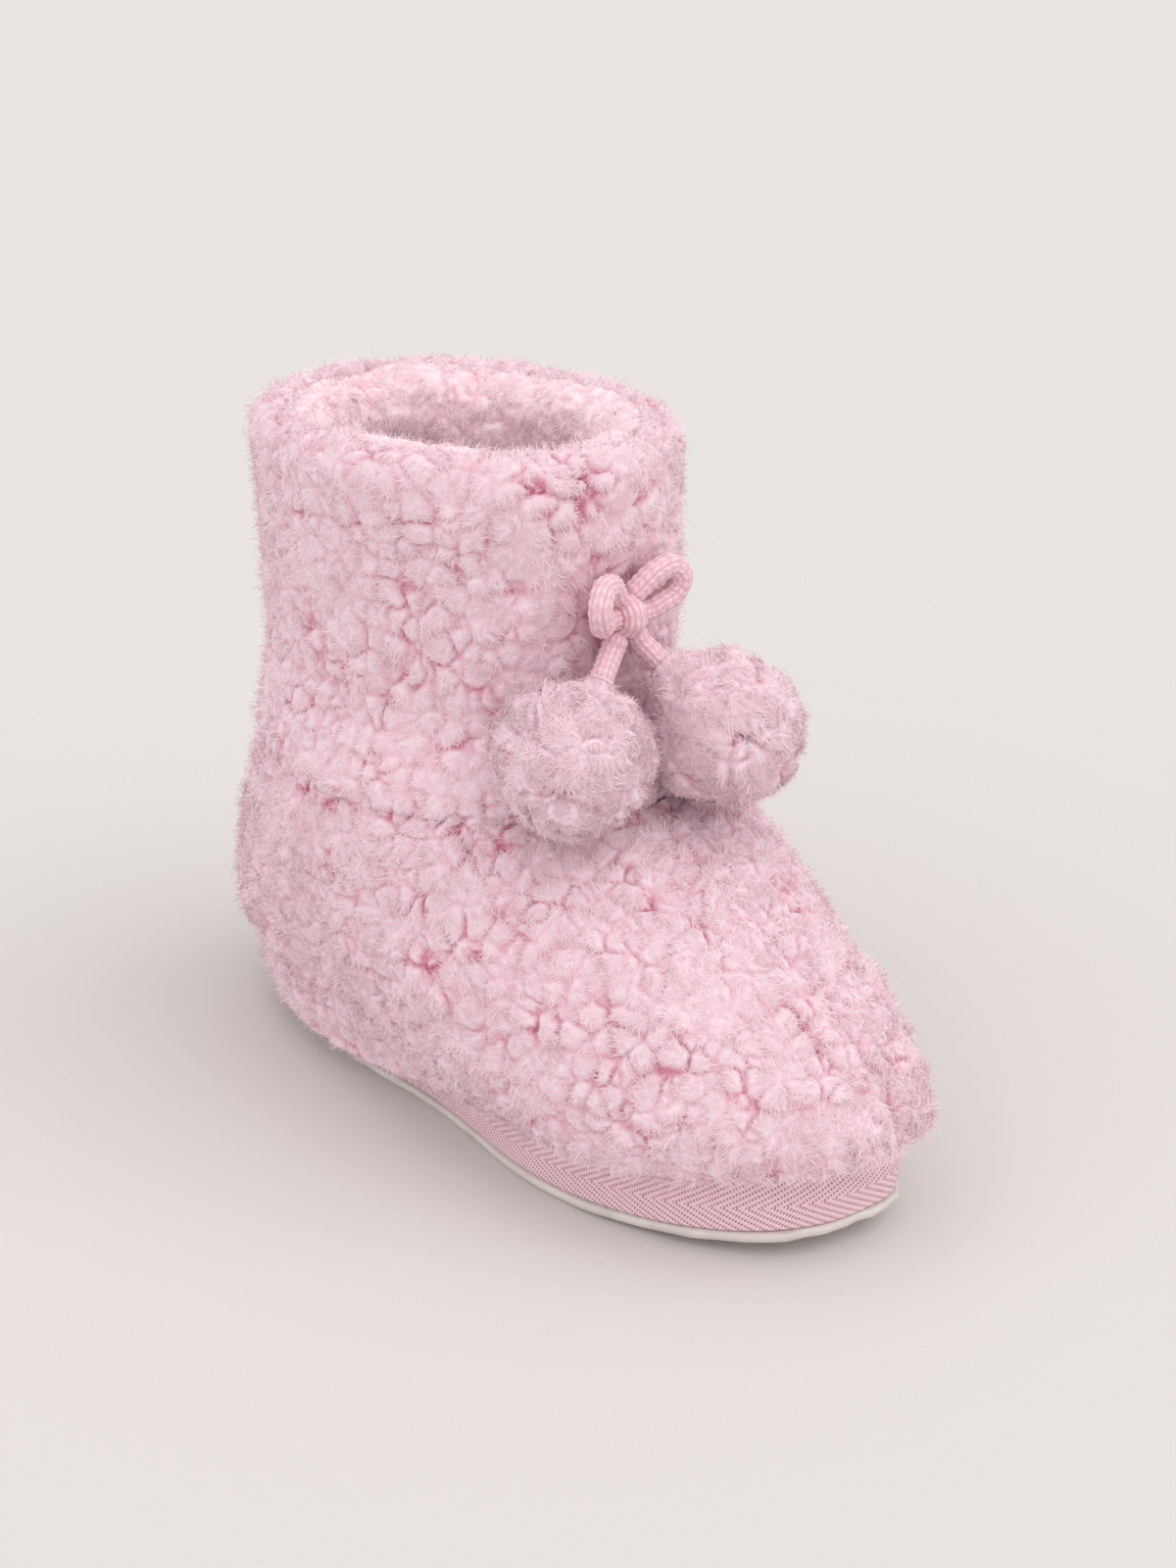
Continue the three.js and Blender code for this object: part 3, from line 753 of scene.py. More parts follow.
def lumps(p, size, wide, reach, seed):
    # a dome, the root of one less the distance squared, and a bell curve where two cells are equally near
    near, second, tag = cells(p, size, seed)
    dome = np.sqrt(np.clip(1 - (near / reach) ** 2, 0, 1))
    return dome, np.exp(-(((second - near) / wide) ** 2)), tag


def curlHeight(grid, seed, settings=curl):
    # rounded lumps that meet in creases of uneven depth, over a finer layer of the same and a slow roll;
    # also how deep in a crease each point is, and a number for its lump
    p = grid.reshape(-1, 3)
    small = warped(p, 1.4, seed + 24)
    q = p + warped(p, 3.1, seed + 20) + small * 0.35 + warped(p, 9.0, seed + 30) * 1.8
    reach = settings["domeReach"]
    dome, crease, tag = lumps(q, settings["size"], settings["creaseWide"], reach, seed)
    fine, fineCrease, _ = lumps(q + small * 0.5, settings["fineSize"], settings["fineWide"], reach, seed + 5)
    strength = np.clip(0.5 + 0.6 * softNoise(p, settings["unevenSize"], seed + 9), 0, 1)
    rise = settings["height"] * (dome - 0.75) * (0.5 + 0.6 * strength)
    rise = rise - settings["crease"] * crease * strength
    rise = rise + settings["fineHeight"] * (fine - 0.75 - 0.45 * fineCrease)
    rise = rise + settings["roll"] * softNoise(p, settings["rollSize"], seed + 11) + 0.3
    # how deep in a crease each point is and how far down its lump: the finishes paint this as shade
    hollow = crease * (0.2 + 0.5 * strength ** 2) + 0.2 * fineCrease * (0.3 + 0.7 * strength)
    hollow = hollow + 0.22 * (1 - dome)
    return (values.reshape(grid.shape[:2]) for values in (rise, np.clip(hollow, 0, 1), tag))


fibre = {
    "length": (1.2, 2.6),
    "width": 0.11,
    "sink": 0.08,
    "bend": 0.45,
    "swirl": 0.7,
    "flat": (0.04, 0.3),
    "looseShare": 0.2,
    "looseLift": (0.2, 0.7),
    "arch": 2.4,
    "twist": 0.22,
    "waist": 0.8,
    "tone": (0.55, 0.25),
    "toneShade": 0.5,
}


def fuzz(name, points, normals, hollow, tag, count, seed, reach=1.0, loose=1.0, settings=fibre):
    # short curved ribbons rooted on a surface, each lump's leaning its own way, ending in a point:
    # along the lean, aside by the square of the way along, and outwards by a sine of it
    points, normals, hollow, tag = points.reshape(-1, 3), normals.reshape(-1, 3), hollow.ravel(), tag.ravel()
    draw = np.random.default_rng(seed)
    chance = np.clip(1.05 - 1.7 * hollow, 0.04, 1) * reach
    pick = draw.choice(len(points), count, p=chance / chance.sum())
    root, n = points[pick], normals[pick]
    swirl = tag[pick] * 37.7 + draw.normal(0, settings["swirl"], count)
    side = unit(np.cross(n, np.array([0.31, 0.22, 0.92])))
    ahead = np.cross(n, side)
    lean = side * np.cos(swirl)[:, None] + ahead * np.sin(swirl)[:, None]
    across = np.cross(n, lean)
    size = draw.uniform(*settings["length"], count)[:, None]
    bend = draw.normal(0, settings["bend"], count)[:, None]
    stand = draw.uniform(*settings["flat"], count)
    free = draw.uniform(0, 1, count) > 1 - settings["looseShare"]
    stand = (stand + loose * free * draw.uniform(*settings["looseLift"], count))[:, None]
    rows = []
    for k in (0.0, 0.5, 1.0):
        centre = root - n * settings["sink"] + lean * size * k + across * bend * size * k * k
        rows.append(centre + n * size * stand * math.sin(k * settings["arch"]))
    half = (across + n * draw.normal(0, settings["twist"], count)[:, None]) * settings["width"] / 2
    waist = half * settings["waist"]
    corners = [rows[0] - half, rows[0] + half, rows[1] - waist, rows[1] + waist, rows[2]]
    one = np.array([[0, 1, 3], [0, 3, 2], [2, 3, 4]])
    faces = ((np.arange(count) * 5)[:, None, None] + one[None]).reshape(-1, 3)
    middle, spread = settings["tone"]
    # each fibre's tone is random, less a painted shade for fibres rooted deep in a crease
    tone = middle + draw.normal(0, spread, count) - hollow[pick] * settings["toneShade"]
    tone = np.repeat(np.clip(tone, 0, 1), 5)
    return addMesh(name, np.stack(corners, 1).reshape(-1, 3), [faces], {"tone": tone})


# foot fleece, two halves
footFleece = {
    "columns": 400,
    "rows": 190,
    "fibres": 60000,
    "hangHeel": 9.2,
    "hangToe": 2.2,
    "tuck": 2.1,
    "tuckLift": 1.5,
    "lipRows": (22, 1, 10),
    "lipRound": 0.9,
    "lipShare": 0.4286,
    "wallRows": 20,
    "easeReach": 16,
    "easeSpread": 22,
    "edgeRows": 26,
    "seamDip": 0.5,
    "seamWidth": 1.3,
    "ankleDip": 0.35,
    "ankleWidth": 2.0,
    "seamScale": 34.0,
    "skinLength": 62,
    "belowSkin": 40.0,
    "thin": 0.8,
}


def skirtHeight(u, settings):
    # the fleece's lower edge: level past the ball, lower to the heel and a little higher at the toe
    _, _, t = soleOutline(u, 0)
    low = settings["hangHeel"] * (1 - smooth(-0.4, 0.3, t))
    return upperBottom - 0.6 - low + settings["hangToe"] * smooth(0.7, 1.0, t)


def easedRows(points, joint, settings):
    # the corner at one row is eased by a running mean, shared in by a bell curve
    reach = settings["easeReach"]
    ends = (np.repeat(points[:, :1], reach, 1), points, np.repeat(points[:, -1:], reach, 1))
    padded = np.concatenate(ends, 1)
    total = np.cumsum(np.concatenate([padded[:, :1] * 0, padded], 1), 1)
    mean = (total[:, 2 * reach + 1:] - total[:, :-2 * reach - 1]) / (2 * reach + 1)
    away = (np.arange(points.shape[1]) - joint) / settings["easeSpread"]
    share = np.exp(-(away ** 2))[None, :, None]
    return points * (1 - share) + mean * share


def facing(points, middle, rowsClose=False):
    # the grid's normals, turned to point away from a middle
    normals = gridNormals(points, rowsClose, False)
    return normals if np.sum(normals * (points - middle)) > 0 else -normals


def makeFootHalf(side, start, seed, settings):
    # a lip under the edge, a wall up to the skin and the skin itself, one after another at each angle
    u = start + math.pi * np.linspace(0, 1, settings["columns"])
    v = np.linspace(0, 1, settings["rows"])
    skin = footSkin(u[:, None], v[None])
    hang = skirtHeight(u, settings)
    edge = solePoint(u, last["overhang"], hang)
    under = solePoint(u, settings["tuck"], hang + settings["tuckLift"])
    steps, first, final = settings["lipRows"]
    turn = np.linspace(0, 1, steps)[first:final] / settings["lipShare"] * math.pi
    lip = under[:, None] + (edge - under)[:, None] * np.sin(turn / 2)[None, :, None]
    lip[..., 2] -= (settings["lipRound"] * np.sin(turn))[None]
    riseUp = np.linspace(0, 1, settings["wallRows"])[1:-1][None, :, None]
    wall = edge[:, None] + (skin[:, 0] - edge)[:, None] * riseUp
    outer = np.concatenate([lip, wall, skin], 1)
    below = outer.shape[1] - settings["rows"]
    outer = easedRows(outer, below, settings)
    middle = outer.mean((0, 1))
    normals = facing(outer, middle)
    rise, hollow, tag = curlHeight(outer, 100)
    edgeShare = smooth(0, settings["edgeRows"], np.arange(outer.shape[1]))[None]
    rise = (rise - 0.5) * (0.35 + 0.65 * edgeShare) + 0.5 * edgeShare
    sideways = np.minimum(u - start, start + math.pi - u)[:, None] * settings["seamScale"]
    seam = np.exp(-((sideways / settings["seamWidth"]) ** 2))
    upTo = np.concatenate([np.full(below, settings["belowSkin"]), (1 - v) * settings["skinLength"]])[None]
    ankle = np.exp(-((upTo / settings["ankleWidth"]) ** 2))
    rise = rise * (1 - 0.4 * seam) - settings["seamDip"] * seam - settings["ankleDip"] * ankle
    # painted shade: the colour darkens down the seams and round the ankle crease
    hollow = np.clip(hollow + 0.15 * seam + 0.2 * ankle, 0, 1)
    outer = outer + normals * rise[..., None]
    inner = footSkin(u[:, None], np.linspace(0.05, 1, 8)[None])
    inner = inner - facing(inner, middle) * (last["fleece"] - settings["thin"])
    piece = shell(f"footFleece{side}", placed(outer), placed(inner), False, {"hollow": hollow})
    fibres = fuzz(f"footFibres{side}", placed(outer), normals, hollow, tag, settings["fibres"], seed)
    fit(piece, fleece, "boot", "fleece", f"foot_fleece_{side.lower()}")
    fit(fibres, strands, "boot", "fleece")


makeFootHalf("Left", 0.0, 3, footFleece)
makeFootHalf("Right", math.pi, 4, footFleece)
print("foot fleece made")


# leg fleece, with its rolled edge
ankle = last["ankle"]
legFleece = {
    "columns": 520,
    "fibres": 64000,
    "step": 0.5,
    "scale": 1.0,
    "gatherWide": 10,
    "gatherHigh": 11,
    "gatherShade": 0.4,
    "outer": [(ankle + 0.3, 4.2), (ankle - 1.1, 2.6), (ankle - 1.1, 1.0), (ankle + 1.0, 0.2), (ankle + 4, 0),
              (90, 0), (crest - 8, -0.3), (crest - 3.4, 0.1), (crest - 0.9, 1.8), (crest + 0.1, 4.4),
              (crest + 0.1, 6.9), (crest - 1.0, 7.8)],
    "back": [(ankle + 1.6, 6.4), (ankle + 8, 6.6), (90, 6.8), (crest - 8, 6.8), (crest - 3, 6.9)],
}


def ringPoints(u, rows):
    # rows of height and depth, carried round the leg
    z = np.array([r[0] for r in rows])
    depth = np.array([r[1] for r in rows])
    return legSkin(u[:, None], z[None], depth[None])


def finerRows(rows, step):
    # points a step apart along a bent line of height and depth, eased through its corners
    rows = np.array(rows, float)
    for _ in range(3):
        a, b = rows[:-1], rows[1:]
        cut = np.stack([a * 0.75 + b * 0.25, a * 0.25 + b * 0.75], 1).reshape(-1, 2)
        rows = np.concatenate([rows[:1], cut, rows[-1:]])
    run = lengthAlong(rows)
    at = np.linspace(0, run[-1], int(run[-1] / step) + 2)
    return np.stack([np.interp(at, run, rows[:, k]) for k in (0, 1)], -1)


def makeLegRing(name, node, outward, settings, seed, material):
    # a profile of heights and depths carried round the leg, raised along its normals by the curls
    u = fullTurn(settings["columns"])
    rows = finerRows(settings["outer"], settings["step"])
    face = ringPoints(u, rows)
    normals = gridNormals(face, True, False)
    centre = np.array([last["legX"], 0, 0])
    wall = slice(len(rows) * 2 // 5, len(rows) * 3 // 5)
    test = np.sum(normals[:, wall] * (face[:, wall] - centre) * np.array([1, 1, 0]))
    if (test > 0) != outward:
        normals = -normals
    rise, hollow, tag = curlHeight(face, seed)
    rise = rise * settings["scale"]
    if outward:
        aside = face[..., 1] / settings["gatherWide"]
        above = (face[..., 2] - knotCentre[2]) / settings["gatherHigh"]
        gather = np.exp(-(aside ** 2) - above ** 2) * (face[..., 0] > 0)
        # painted shade: the colour darkens under the bow, where the leg is gathered behind the knot
        hollow = np.clip(hollow + settings["gatherShade"] * gather, 0, 1)
    face = face + normals * rise[..., None]
    back = ringPoints(u, settings["back"])
    piece = shell(name, placed(face), placed(back), True, {"hollow": hollow})
    fibres = fuzz(name + "Fibres", placed(face), normals, hollow, tag, settings["fibres"], seed)
    fit(piece, material, "boot", "fleece", node)
    fit(fibres, strands, "boot", "fleece")


makeLegRing("legFleece", "shaft_fleece", True, legFleece, 100, fleece)
print("leg fleece made")


deepIn = last["fleece"] + last["gap"]
facingFleece = {
    "columns": 340,
    "fibres": 26000,
    "step": 0.55,
    "scale": 0.85,
    "outer": [(crest - 1.2, deepIn - 0.9), (crest, deepIn - 0.1), (crest - 0.3, deepIn + 3.6),
              (crest - 2.6, deepIn + 7.4), (crest - 7, deepIn + 9), (110, deepIn + 8.6),
              (facingBottom + 3, deepIn + 7), (facingBottom + 0.6, deepIn + 5.2)],
    "back": [(crest - 3, deepIn), (facingBottom + 2, deepIn + 0.3), (facingBottom + 0.5, deepIn + 1.5)],
}
makeLegRing("collarFacing", "collar_facing", False, facingFleece, 300, collarLitFleece)
print("collar made")


# pompons
pomponShape = {
    "radius": 12.9,
    "around": 300,
    "rings": 118,
    "neckFrom": 6.0,
    "neck": [(4.6, 12.7), (3.4, 14.2), (2.7, 15.6), (2.35, 15.9), (2.25, 15.2)],
    "neckStep": 0.3,
    "hollow": 9.4,
    "bore": 0.26,
    "curl": dict(curl, size=4.8, height=2.1, crease=1.1, fineHeight=0.45, roll=0.9, rollSize=8.0),
    "folds": 9,
    "foldFrom": (6.5, 13.2),
    "calmFrom": (12.0, 14.5),
    "bareFrom": (13.0, 15.0),
    "foldDepth": 0.9,
    "foldShade": 0.3,
    "dent": 1.5,
    "dentWide": 0.2,
    "pleat": 1.0,
    "pleatWide": 0.42,
    "pleats": 6,
    "fibres": 22000,
    "loose": 0.7,
    "gather": {"left": (0.80, -0.36, 0.18), "right": (0.62, -0.66, -0.18)},
    "thread": 0.28,
    "threadRing": 3.0,
    "threadHeight": 14.6,
    "threadSteps": 40,
    "threadSides": 8,
}


def pomponRings(centre, axis, rows, turn):
    # each row's distance from the axis and place along it, carried round the axis
    first = unit(np.cross(axis, np.array([0, 0, 1.0])))
    ring = first * np.cos(turn)[:, None] + np.cross(axis, first) * np.sin(turn)[:, None]
    return centre + axis * rows[:, None, 1:] + ring[None] * rows[:, None, :1]


def makePompon(side, settings, seed):
    # a ball that narrows to a gathered neck round the cord, and turns in down the bore to its hollow
    centre = nodeMiddle(f"stopper_knot_{side}")
    pivot = jointAt[f"pompon_{side}_swing"]
    axis = unit(pivot - centre)
    ball = settings["radius"]
    a = np.linspace(0.03, math.pi - math.asin(settings["neckFrom"] / ball), settings["rings"])
    sphere = np.stack([ball * np.sin(a), -ball * np.cos(a)], -1)
    neck = finerRows([tuple(sphere[-1]), *settings["neck"]], settings["neckStep"])
    profile = np.concatenate([sphere, neck[1:]])
    inside = np.linspace(math.pi - settings["bore"], 0.05, 24)
    hollowRows = np.stack([settings["hollow"] * np.sin(inside), -settings["hollow"] * np.cos(inside)], -1)
    turn = fullTurn(settings["around"])
    outer = pomponRings(centre, axis, profile, turn)
    normals = facing(outer, centre)
    rise, hollow, tag = curlHeight(outer, seed, settings["curl"])
    # folds that run up to the neck, darkened with painted shade
    up = profile[:, 1][:, None]
    nearNeck = smooth(*settings["foldFrom"], up)
    wobble = softNoise(outer.reshape(-1, 3), 5.0, seed + 3).reshape(outer.shape[:2])
    fold = 0.5 + 0.5 * np.cos(turn[None] * settings["folds"] + 2.0 * wobble)
    calm = 1 - 0.8 * smooth(*settings["calmFrom"], up)
    rise = rise * calm - settings["foldDepth"] * fold * nearNeck * calm
    hollow = np.clip(hollow * calm + settings["foldShade"] * fold * nearNeck, 0, 1)
    # the gather that closes the ball: a dent with folds running into it, darkened with painted shade
    aim = unit(np.array(settings["gather"][side]))
    out = (outer - centre) / ball
    away = np.linalg.norm(np.cross(out, aim), axis=-1) + 2 * (out @ aim < 0)
    across = np.cross(aim, np.array([0, 0, 1.0]))
    bearing = np.arctan2(out @ across, out @ np.cross(aim, across))
    dent = np.exp(-((away / settings["dentWide"]) ** 2))
    wave = 0.5 + 0.5 * np.cos(settings["pleats"] * bearing + 1.5 * wobble)
    pleat = np.exp(-((away / settings["pleatWide"]) ** 2)) * wave
    rise = rise - settings["dent"] * dent - settings["pleat"] * pleat
    hollow = np.clip(hollow + 0.1 * dent + 0.22 * pleat, 0, 1)
    outer = outer + normals * rise[..., None]
    rows = np.concatenate([outer, pomponRings(centre, axis, hollowRows, turn)])
    # the bore down the neck takes a fixed darker value: painted shade
    shade = np.concatenate([hollow, np.full((len(hollowRows), settings["around"]), 0.6)])
    name = f"pompon{side.title()}"
    piece = turned(name, rows, outer[0].mean(0), centre - axis * settings["hollow"], {"hollow": shade})
    bare = 0.85 * smooth(*settings["bareFrom"], up)
    reach = (1 - bare) * np.sin(np.clip(profile[:, 0] / 13, 0.02, 1))[:, None]
    fibres = fuzz(name + "Fibres", outer, normals, hollow, tag, settings["fibres"], seed,
                  (reach + 0 * hollow).ravel(), settings["loose"])
    # the pompon's fleece is a lighter copy of the fleece: painted light
    fit(piece, pompon, f"pompon_{side}", "fleece", f"pompon_cover_{side}")
    fit(fibres, strands, f"pompon_{side}", "fleece")
    # the thread that draws the neck in, sunk in the folds
    steps, sides = settings["threadSteps"], settings["threadSides"]
    section = fullTurn(sides)
    ring = np.stack([np.cos(section), np.sin(section)], -1) * settings["thread"]
    rows = ring + np.array([settings["threadRing"], settings["threadHeight"]])
    points = pomponRings(centre, axis, rows, fullTurn(steps))
    points = points.transpose(1, 0, 2).reshape(-1, 3)
    blocks = turnOutward(points - centre, [gridFaces(steps, sides, True, True)])
    gather = addMesh(f"gatherThread{side.title()}", points, blocks, {"hollow": np.full(steps * sides, 0.3)})
    fit(gather, sewing, f"pompon_{side}", "thread", f"gather_thread_{side}")


makePompon("left", pomponShape, 400)
makePompon("right", pomponShape, 500)
print("pompons made")


# linings
liningOuter = last["fleece"] + last["gap"]
liningInner = liningOuter + last["lining"]
liningGrid = {
    "around": 260,
    "rows": 70,
    "legRows": 60,
    "nap": 0.22,
    "ripple": 0.5,
    "backGap": 0.3,
    "end": 0.15,
}


def napped(points, normals, settings, seed):
    # a fine nap over slow ripples
    flat = points.reshape(-1, 3)
    lift = settings["nap"] * softNoise(flat, 1.1, seed) + settings["ripple"] * softNoise(flat, 14.0, seed + 1)
    return points + normals * lift.reshape(points.shape[:2])[..., None]


def makeLinings(settings):
    # the foot's skin and the leg's, each moved inwards along its normals, level ones at the foot's two edges
    u = fullTurn(settings["around"])
    v = np.linspace(0.0, 1, settings["rows"])
    skin = footSkin(u[:, None], v[None])
    normals = gridNormals(skin, True, False)
    level = unit(normals * np.array([1, 1, 0]))
    edge = np.maximum(1 - smooth(0, 0.14, v), smooth(0.8, 1, v))[None, :, None]
    normals = unit(normals * (1 - edge) + level * edge)
    normals = normals * np.sign(np.sum(normals * (skin - skin.mean((0, 1)))))
    behind = liningOuter + settings["backGap"]
    seen = napped(skin - normals * liningInner, normals, settings, 700)
    foot = shell("footLining", placed(seen), placed((skin - normals * behind)[:, ::7]), True)
    ends = last["ankle"] + settings["end"], facingBottom - settings["backGap"]
    wall = legSkin(u[:, None], np.linspace(*ends, settings["legRows"])[None], liningInner)
    out = gridNormals(wall, True, False)
    out = out * np.sign(np.sum(out[..., :2] * (wall[..., :2] - np.array([last["legX"], 0]))))
    wall = napped(wall, out, settings, 720)
    back = legSkin(u[:, None], np.linspace(*ends, 6)[None], behind)
    leg = shell("legLining", placed(wall), placed(back), True)
    fit(foot, plush, "boot", "plush", "foot_lining")
    fit(leg, plush, "boot", "plush", "shaft_lining")


makeLinings(liningGrid)


# sole
outsoleShape = {
    "around": 560,
    "wave": 0.3,
    "shares": [*np.linspace(0.03, 0.9, 46), 0.93, 0.95, 0.965],
    "edge": [(-0.3, 0.0), (0.2, 0.18), (0.5, 0.6), (0.7, 1.2), (0.65, 1.7), (0.3, 1.95)],
    "top": 1.98,
    "topShares": (0.96, 0.8, 0.4, 0.05),
    "tread": {"zigzag": 9, "swing": 4.5, "pitch": 5.2, "depth": 0.45},
}
footbedShape = {
    "around": 240,
    "bottomShares": (0.1, 0.5, 0.9),
    "edge": [(-0.6, 0.1), (0, 1.2), (-0.4, 2.2)],
    "top": 2.6,
    "crown": 0.7,
}


def treadRelief(x, y, tread):
    # shallow zigzag grooves across the sole, cut upwards so that nothing goes below the floor
    zigzag = np.abs((y / tread["zigzag"]) % 2 - 1) * tread["swing"]
    phase = np.abs(((x + zigzag) / tread["pitch"]) % 1 - 0.5)
    return tread["depth"] * smooth(0.36, 0.46, phase)


def soleSlab(name, profile, around, wave=0.0, tread=None):
    # rings of the sole's outline: each row of the profile is a share of the outline, a growth and a height
    u = fullTurn(around)
    ripple = wave * (np.sin(9 * u) * 0.5 + np.sin(23 * u + 1) * 0.3 + np.sin(41 * u + 2) * 0.2)
    rows = []
    for share, grow, height in profile:
        x, y, _ = soleOutline(u, grow)
        x, y = x * share, y * share
        spread = 1 + ripple * share ** 8 / 40
        z = height + toeLift(x)
        if tread and height < 1:
            z = z + treadRelief(x, y, tread) * (share < 0.97)
        rows.append(np.stack([x * spread, y * spread, z], -1))
    middle = placed(np.zeros(3))
    ends = [middle + np.array([0, 0, profile[k][2]]) for k in (0, -1)]
    return turned(name, placed(np.array(rows)), *ends)


def makeOutsole(shape):
    # flat below with its tread, a rounded edge, and a plain top
    profile = [(k, 0.2, 0.0) for k in shape["shares"]] + [(1, *row) for row in shape["edge"]]
    profile += [(k, 0, shape["top"]) for k in shape["topShares"]]
    piece = soleSlab("outsoleSheet", profile, shape["around"], shape["wave"], shape["tread"])
    fit(piece, soleFoam, "boot", "outsole", "outsole")


def makeFootbed(shape):
    # flat below, a soft edge, and a top that sinks to the middle
    low, high = nodeBox("footbed_cover")
    inward = (high[0] - low[0] - last["length"]) / 2
    profile = [(k, inward, low[2]) for k in shape["bottomShares"]]
    profile += [(1, inward + grow, low[2] + rise) for grow, rise in shape["edge"]]
    profile += [(k, inward - 0.4, low[2] + shape["top"] - shape["crown"] * (1 - k))
                for k in np.linspace(0.97, 0.05, 24)]
    piece = soleSlab("footbedCover", profile, shape["around"])
    fit(piece, plush, "boot", "plush", "footbed_cover")


makeOutsole(outsoleShape)
makeFootbed(footbedShape)
print("linings and sole made")


# herringbone tape
tape = {
    "height": last["tapeHeight"],
    "inset": 1.3,
    "around": 1500,
    "rows": 42,
    "pitch": 1.08,
    "yarn": 0.6,
    "slant": 31.0,
    "apex": 0.4,
    "relief": 0.13,
    # the rib tops lighter and the flanks and pits darker: painted shade in the weave
    "top": srgb(246, 212, 221),
    "flank": srgb(226, 178, 191),
    "pit": srgb(160, 94, 116),
}


def makeTape(settings):
    # a band round the sole, bulged a little by a sine; its ribs are a cosine of the way along times the
    # slant's sine, less the distance from the apex line times its cosine, over the pitch
    u = fullTurn(settings["around"]) + math.pi
    k = np.linspace(0, 1, settings["rows"])
    bulge = 0.1 + 0.8 * np.sin(k * math.pi * 0.62) ** 0.8
    x, y, _ = soleOutline(u, 0)
    run = np.concatenate([[0], np.cumsum(np.hypot(np.diff(x), np.diff(y)))])
    whole = run[-1] + math.hypot(x[0] - x[-1], y[0] - y[-1])
    slant = math.radians(settings["slant"])
    period = settings["pitch"] / math.sin(slant)
    stretch = round(whole / period) * period / whole
    run = run * stretch
    height = settings["height"] * k
    rise = np.abs(height - settings["apex"] * settings["height"])
    phase = (run[:, None] * math.sin(slant) - rise[None] * math.cos(slant)) / settings["pitch"]
    rib = 0.5 + 0.5 * np.cos(2 * math.pi * phase)
    border = smooth(0, 0.05, k) * (1 - smooth(0.95, 1, k))
    lift = settings["relief"] * (rib ** 0.6 - 0.5) * border[None]
    px, py, _ = soleOutline(u[:, None], bulge[None] + lift)
    z = tapeBottom + height[None] + toeLift(px)
    face = np.stack([px, py, z], -1)
    behind = np.linspace(0, settings["height"], 4)
    bx, by, _ = soleOutline(u[:, None], np.full((1, 4), -settings["inset"]))
    back = np.stack([bx, by, tapeBottom + behind[None] + toeLift(bx)], -1)
    loops = np.concatenate([face, back[:, ::-1]], 1)
    count = loops.shape[1]
    points = placed(loops.reshape(-1, 3))
    quads = gridFaces(settings["around"], count, True, True)
    unrolled = gridFaces(settings["around"] + 1, count, False, True)
    blocks = turnOutward(points - points.mean(0), [quads])
    places = [unrolled if blocks[0] is quads else unrolled[:, ::-1]]
    across = np.concatenate([height, behind[::-1]])
    runs = np.concatenate([run, [whole * stretch]])
    uv = np.stack(np.broadcast_arrays(runs[:, None], across[None]), -1).reshape(-1, 2)
    piece = addMesh("foxingTape", points, blocks, None, uv, places)
    fit(piece, tapeFinish(settings), "boot", "tape", "foxing_tape")


def tapeFinish(settings):
    # ribs and yarns as two cosines across each other: light on the ribs, dark dots between them, which is
    # painted shade in the pits of the weave
    made = Finish("herringboneTape", Roughness=0.75, Sheen_Weight=0.2, Specular_IOR_Level=0.3)
    slant = math.radians(settings["slant"])
    place = made.node("ShaderNodeUVMap")
    run, height = (made.node("ShaderNodeSeparateXYZ", axis, {0: place}) for axis in ("X", "Y"))
    rise = abs(height - settings["apex"] * settings["height"])
    rib = ((run * math.sin(slant) - rise * math.cos(slant)) / settings["pitch"]).wave()
    bead = ((run * math.cos(slant) + rise * math.sin(slant)) / settings["yarn"]).wave()
    dark = (1 - rib) * (bead * 0.85 + 0.15) + (made.noise(700.0, 2.0) - 0.5) * 0.25
    made.paint(dark, (0.15, settings["top"]), (0.5, settings["flank"]), (0.95, settings["pit"]))
    made.bump(rib * 0.6 + bead * 0.6, 0.7, 0.0003)
    return made.material


makeTape(tape)
print("tape made")


# stitches
stitchShape = {
    "length": 2.5,
    "gap": 1.0,
    "lift": 0.35,
    "around": 6,
    "shares": np.array([0.02, 0.12, 0.5, 0.88, 0.98]),
    "radii": np.array([0.35, 0.9, 1.0, 0.9, 0.35]) * 0.3,
}


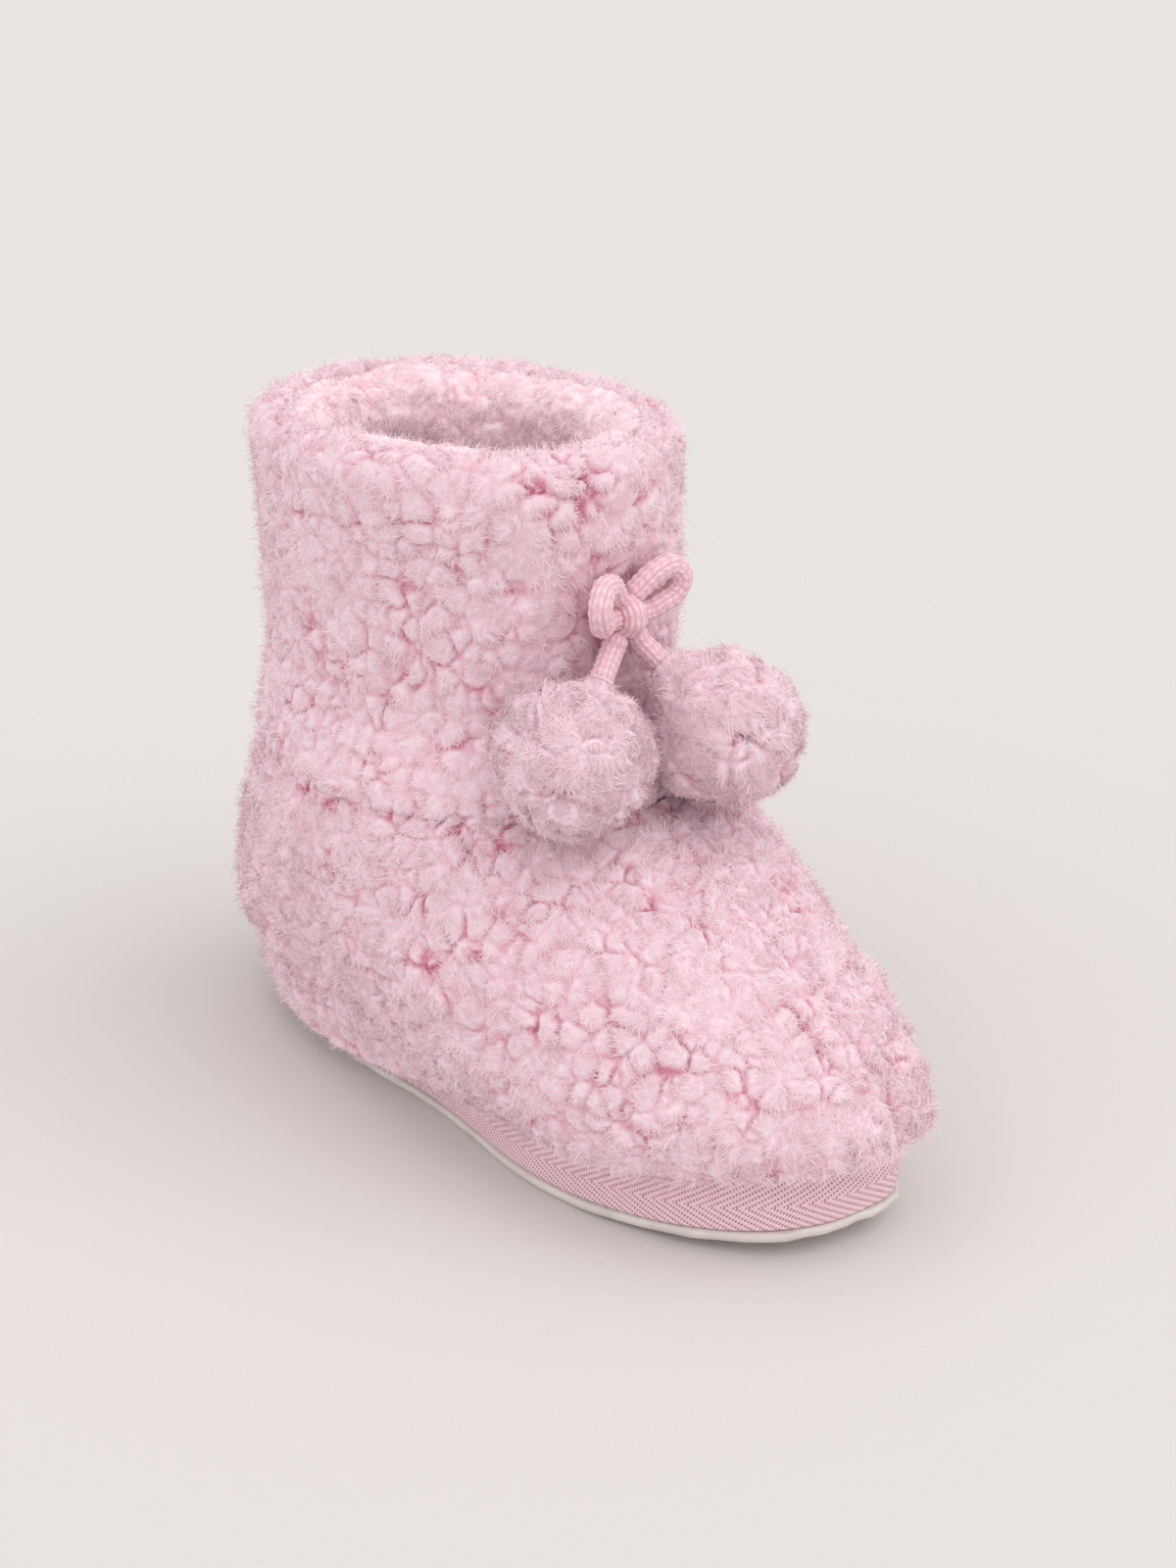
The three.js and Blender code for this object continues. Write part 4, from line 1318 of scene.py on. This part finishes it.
def makeStitches(name, node, path, normals, settings):
    # short threads laid end to end along a seam, each rounded at its ends and bowed outwards
    run = lengthAlong(path)
    pitch = settings["length"] + settings["gap"]
    count = int(run[-1] / pitch)
    shares, sides = settings["shares"], settings["around"]
    at = (np.arange(count) * pitch)[:, None] + settings["gap"] / 2 + shares[None] * settings["length"]
    centre = np.stack([np.interp(at, run, path[:, k]) for k in range(3)], -1)
    out = np.stack([np.interp(at, run, normals[:, k]) for k in range(3)], -1)
    centre = centre + out * (settings["lift"] * np.sin(math.pi * shares))[None, :, None]
    along = unit(centre[:, -1:] - centre[:, :1])
    side = unit(np.cross(along, out))
    up = np.cross(side, along)
    turn = fullTurn(sides)
    c, s = np.cos(turn)[None, None, :, None], np.sin(turn)[None, None, :, None]
    ring = side[:, :, None] * c + up[:, :, None] * s
    rows = centre[:, :, None] + ring * settings["radii"][None, :, None, None]
    poles = np.stack([centre[:, 0] - along[:, 0] * 0.1, centre[:, -1] + along[:, 0] * 0.1], 1)
    points = np.concatenate([rows.reshape(count, -1, 3), poles], 1)
    each = points.shape[1]
    j = np.arange(sides)
    n = (j + 1) % sides
    top = each - 2 - sides
    caps = np.concatenate([np.stack([j * 0 + each - 2, n, j], -1),
                           np.stack([j * 0 + each - 1, top + j, top + n], -1)])
    one = turnOutward(points[0] - points[0].mean(0), [gridFaces(len(shares), sides, False, True), caps])
    base = (np.arange(count) * each)[:, None, None]
    blocks = [(block[None] + base).reshape(-1, block.shape[1]) for block in one]
    piece = addMesh(name, points.reshape(-1, 3), blocks, {"hollow": np.full(count * each, 0.25)})
    fit(piece, sewing, "boot", "thread", node)


def alongFoot(angle, depth):
    # down the middle of a seam of the foot, and the way out of it
    v = np.linspace(0.08, 0.95, 120)
    line = footSkin(angle + 0 * v, v)
    out = unit(np.cross(np.array([0, 1.0, 0]), np.gradient(line, axis=0)))
    out = out * np.sign(np.sum(out * (line - np.array([0, 0, 20]))))
    return placed(line - out * depth), out


def aroundLeg(height, depth, outward):
    # a level line round the leg, and the way out of it or into it
    u = np.linspace(0, 2 * math.pi, 400)
    line = legSkin(u, height + 0 * u, depth)
    out = np.stack([np.cos(u), np.sin(u), 0 * u], -1) * (1 if outward else -1)
    return placed(line), out


seams = {
    "front": alongFoot(0.0, 1.9),
    "heel": alongFoot(math.pi, 1.9),
    "ankle": aroundLeg(last["ankle"] + 0.2, 2.3, True),
    "lining": aroundLeg(facingBottom - 0.3, liningInner + 0.5, False),
}
for seam, line in seams.items():
    makeStitches(f"{seam}Stitches", f"{seam}_seam", *line, stitchShape)
print("stitches made")


# the part's own hidden shapes, which only take a finish
keptFinishes = {
    "midsole_foam": blownFoam,
    "insole_board": pressedBoard,
    "footbed_foam": blownFoam,
    "bow_tack": sewing,
    "pompon_filling_left": wadding,
    "pompon_filling_right": wadding,
    "stopper_knot_left": knitted,
    "stopper_knot_right": knitted,
}
for node, finish in keptFinishes.items():
    mesh = frame["nodes"][node].data
    mesh.materials.clear()
    mesh.materials.append(finish)


# stage
floorLook = {"colour": srgb(216, 212, 210), "size": 16}


def makeFloor(settings):
    # one wide plain sheet at height nought
    bpy.ops.mesh.primitive_plane_add(size=settings["size"], location=(0, 0, 0))
    floor = bpy.context.active_object
    floor.name = "floor"
    made = Finish("floorPaper", Roughness=0.9, Specular_IOR_Level=0.1)
    made.shader.inputs["Base Color"].default_value = (*settings["colour"], 1)
    floor.data.materials.append(made.material)


lamps = {
    "key": {"turn": 118, "rise": 50, "power": 1.0, "spread": 60, "colour": (1, 0.99, 0.98)},
    "fill": {"turn": 10, "rise": 36, "power": 0.72, "spread": 90, "colour": (1, 1, 1)},
}
studio = {"colour": (1, 0.99, 0.985, 1), "strength": 0.82}


def makeLights(settings, world):
    # each lamp shines from its turn round the boot and its rise over the floor
    for name, lamp in settings.items():
        data = bpy.data.lights.new(name, "SUN")
        data.energy = lamp["power"]
        data.angle = math.radians(lamp["spread"])
        data.color = lamp["colour"]
        light = bpy.data.objects.new(name, data)
        turn, rise = math.radians(lamp["turn"]), math.radians(lamp["rise"])
        toward = Vector((math.sin(turn) * math.cos(rise), -math.cos(turn) * math.cos(rise), math.sin(rise)))
        light.rotation_euler = toward.to_track_quat("Z", "Y").to_euler()
        bpy.context.collection.objects.link(light)
    bpy.context.scene.world = bpy.data.worlds.new("studio")
    bpy.context.scene.world.use_nodes = True
    back = bpy.context.scene.world.node_tree.nodes["Background"]
    back.inputs["Color"].default_value = world["colour"]
    back.inputs["Strength"].default_value = world["strength"]


makeFloor(floorLook)
makeLights(lamps, studio)
bpy.context.scene.view_settings.view_transform = "Standard"
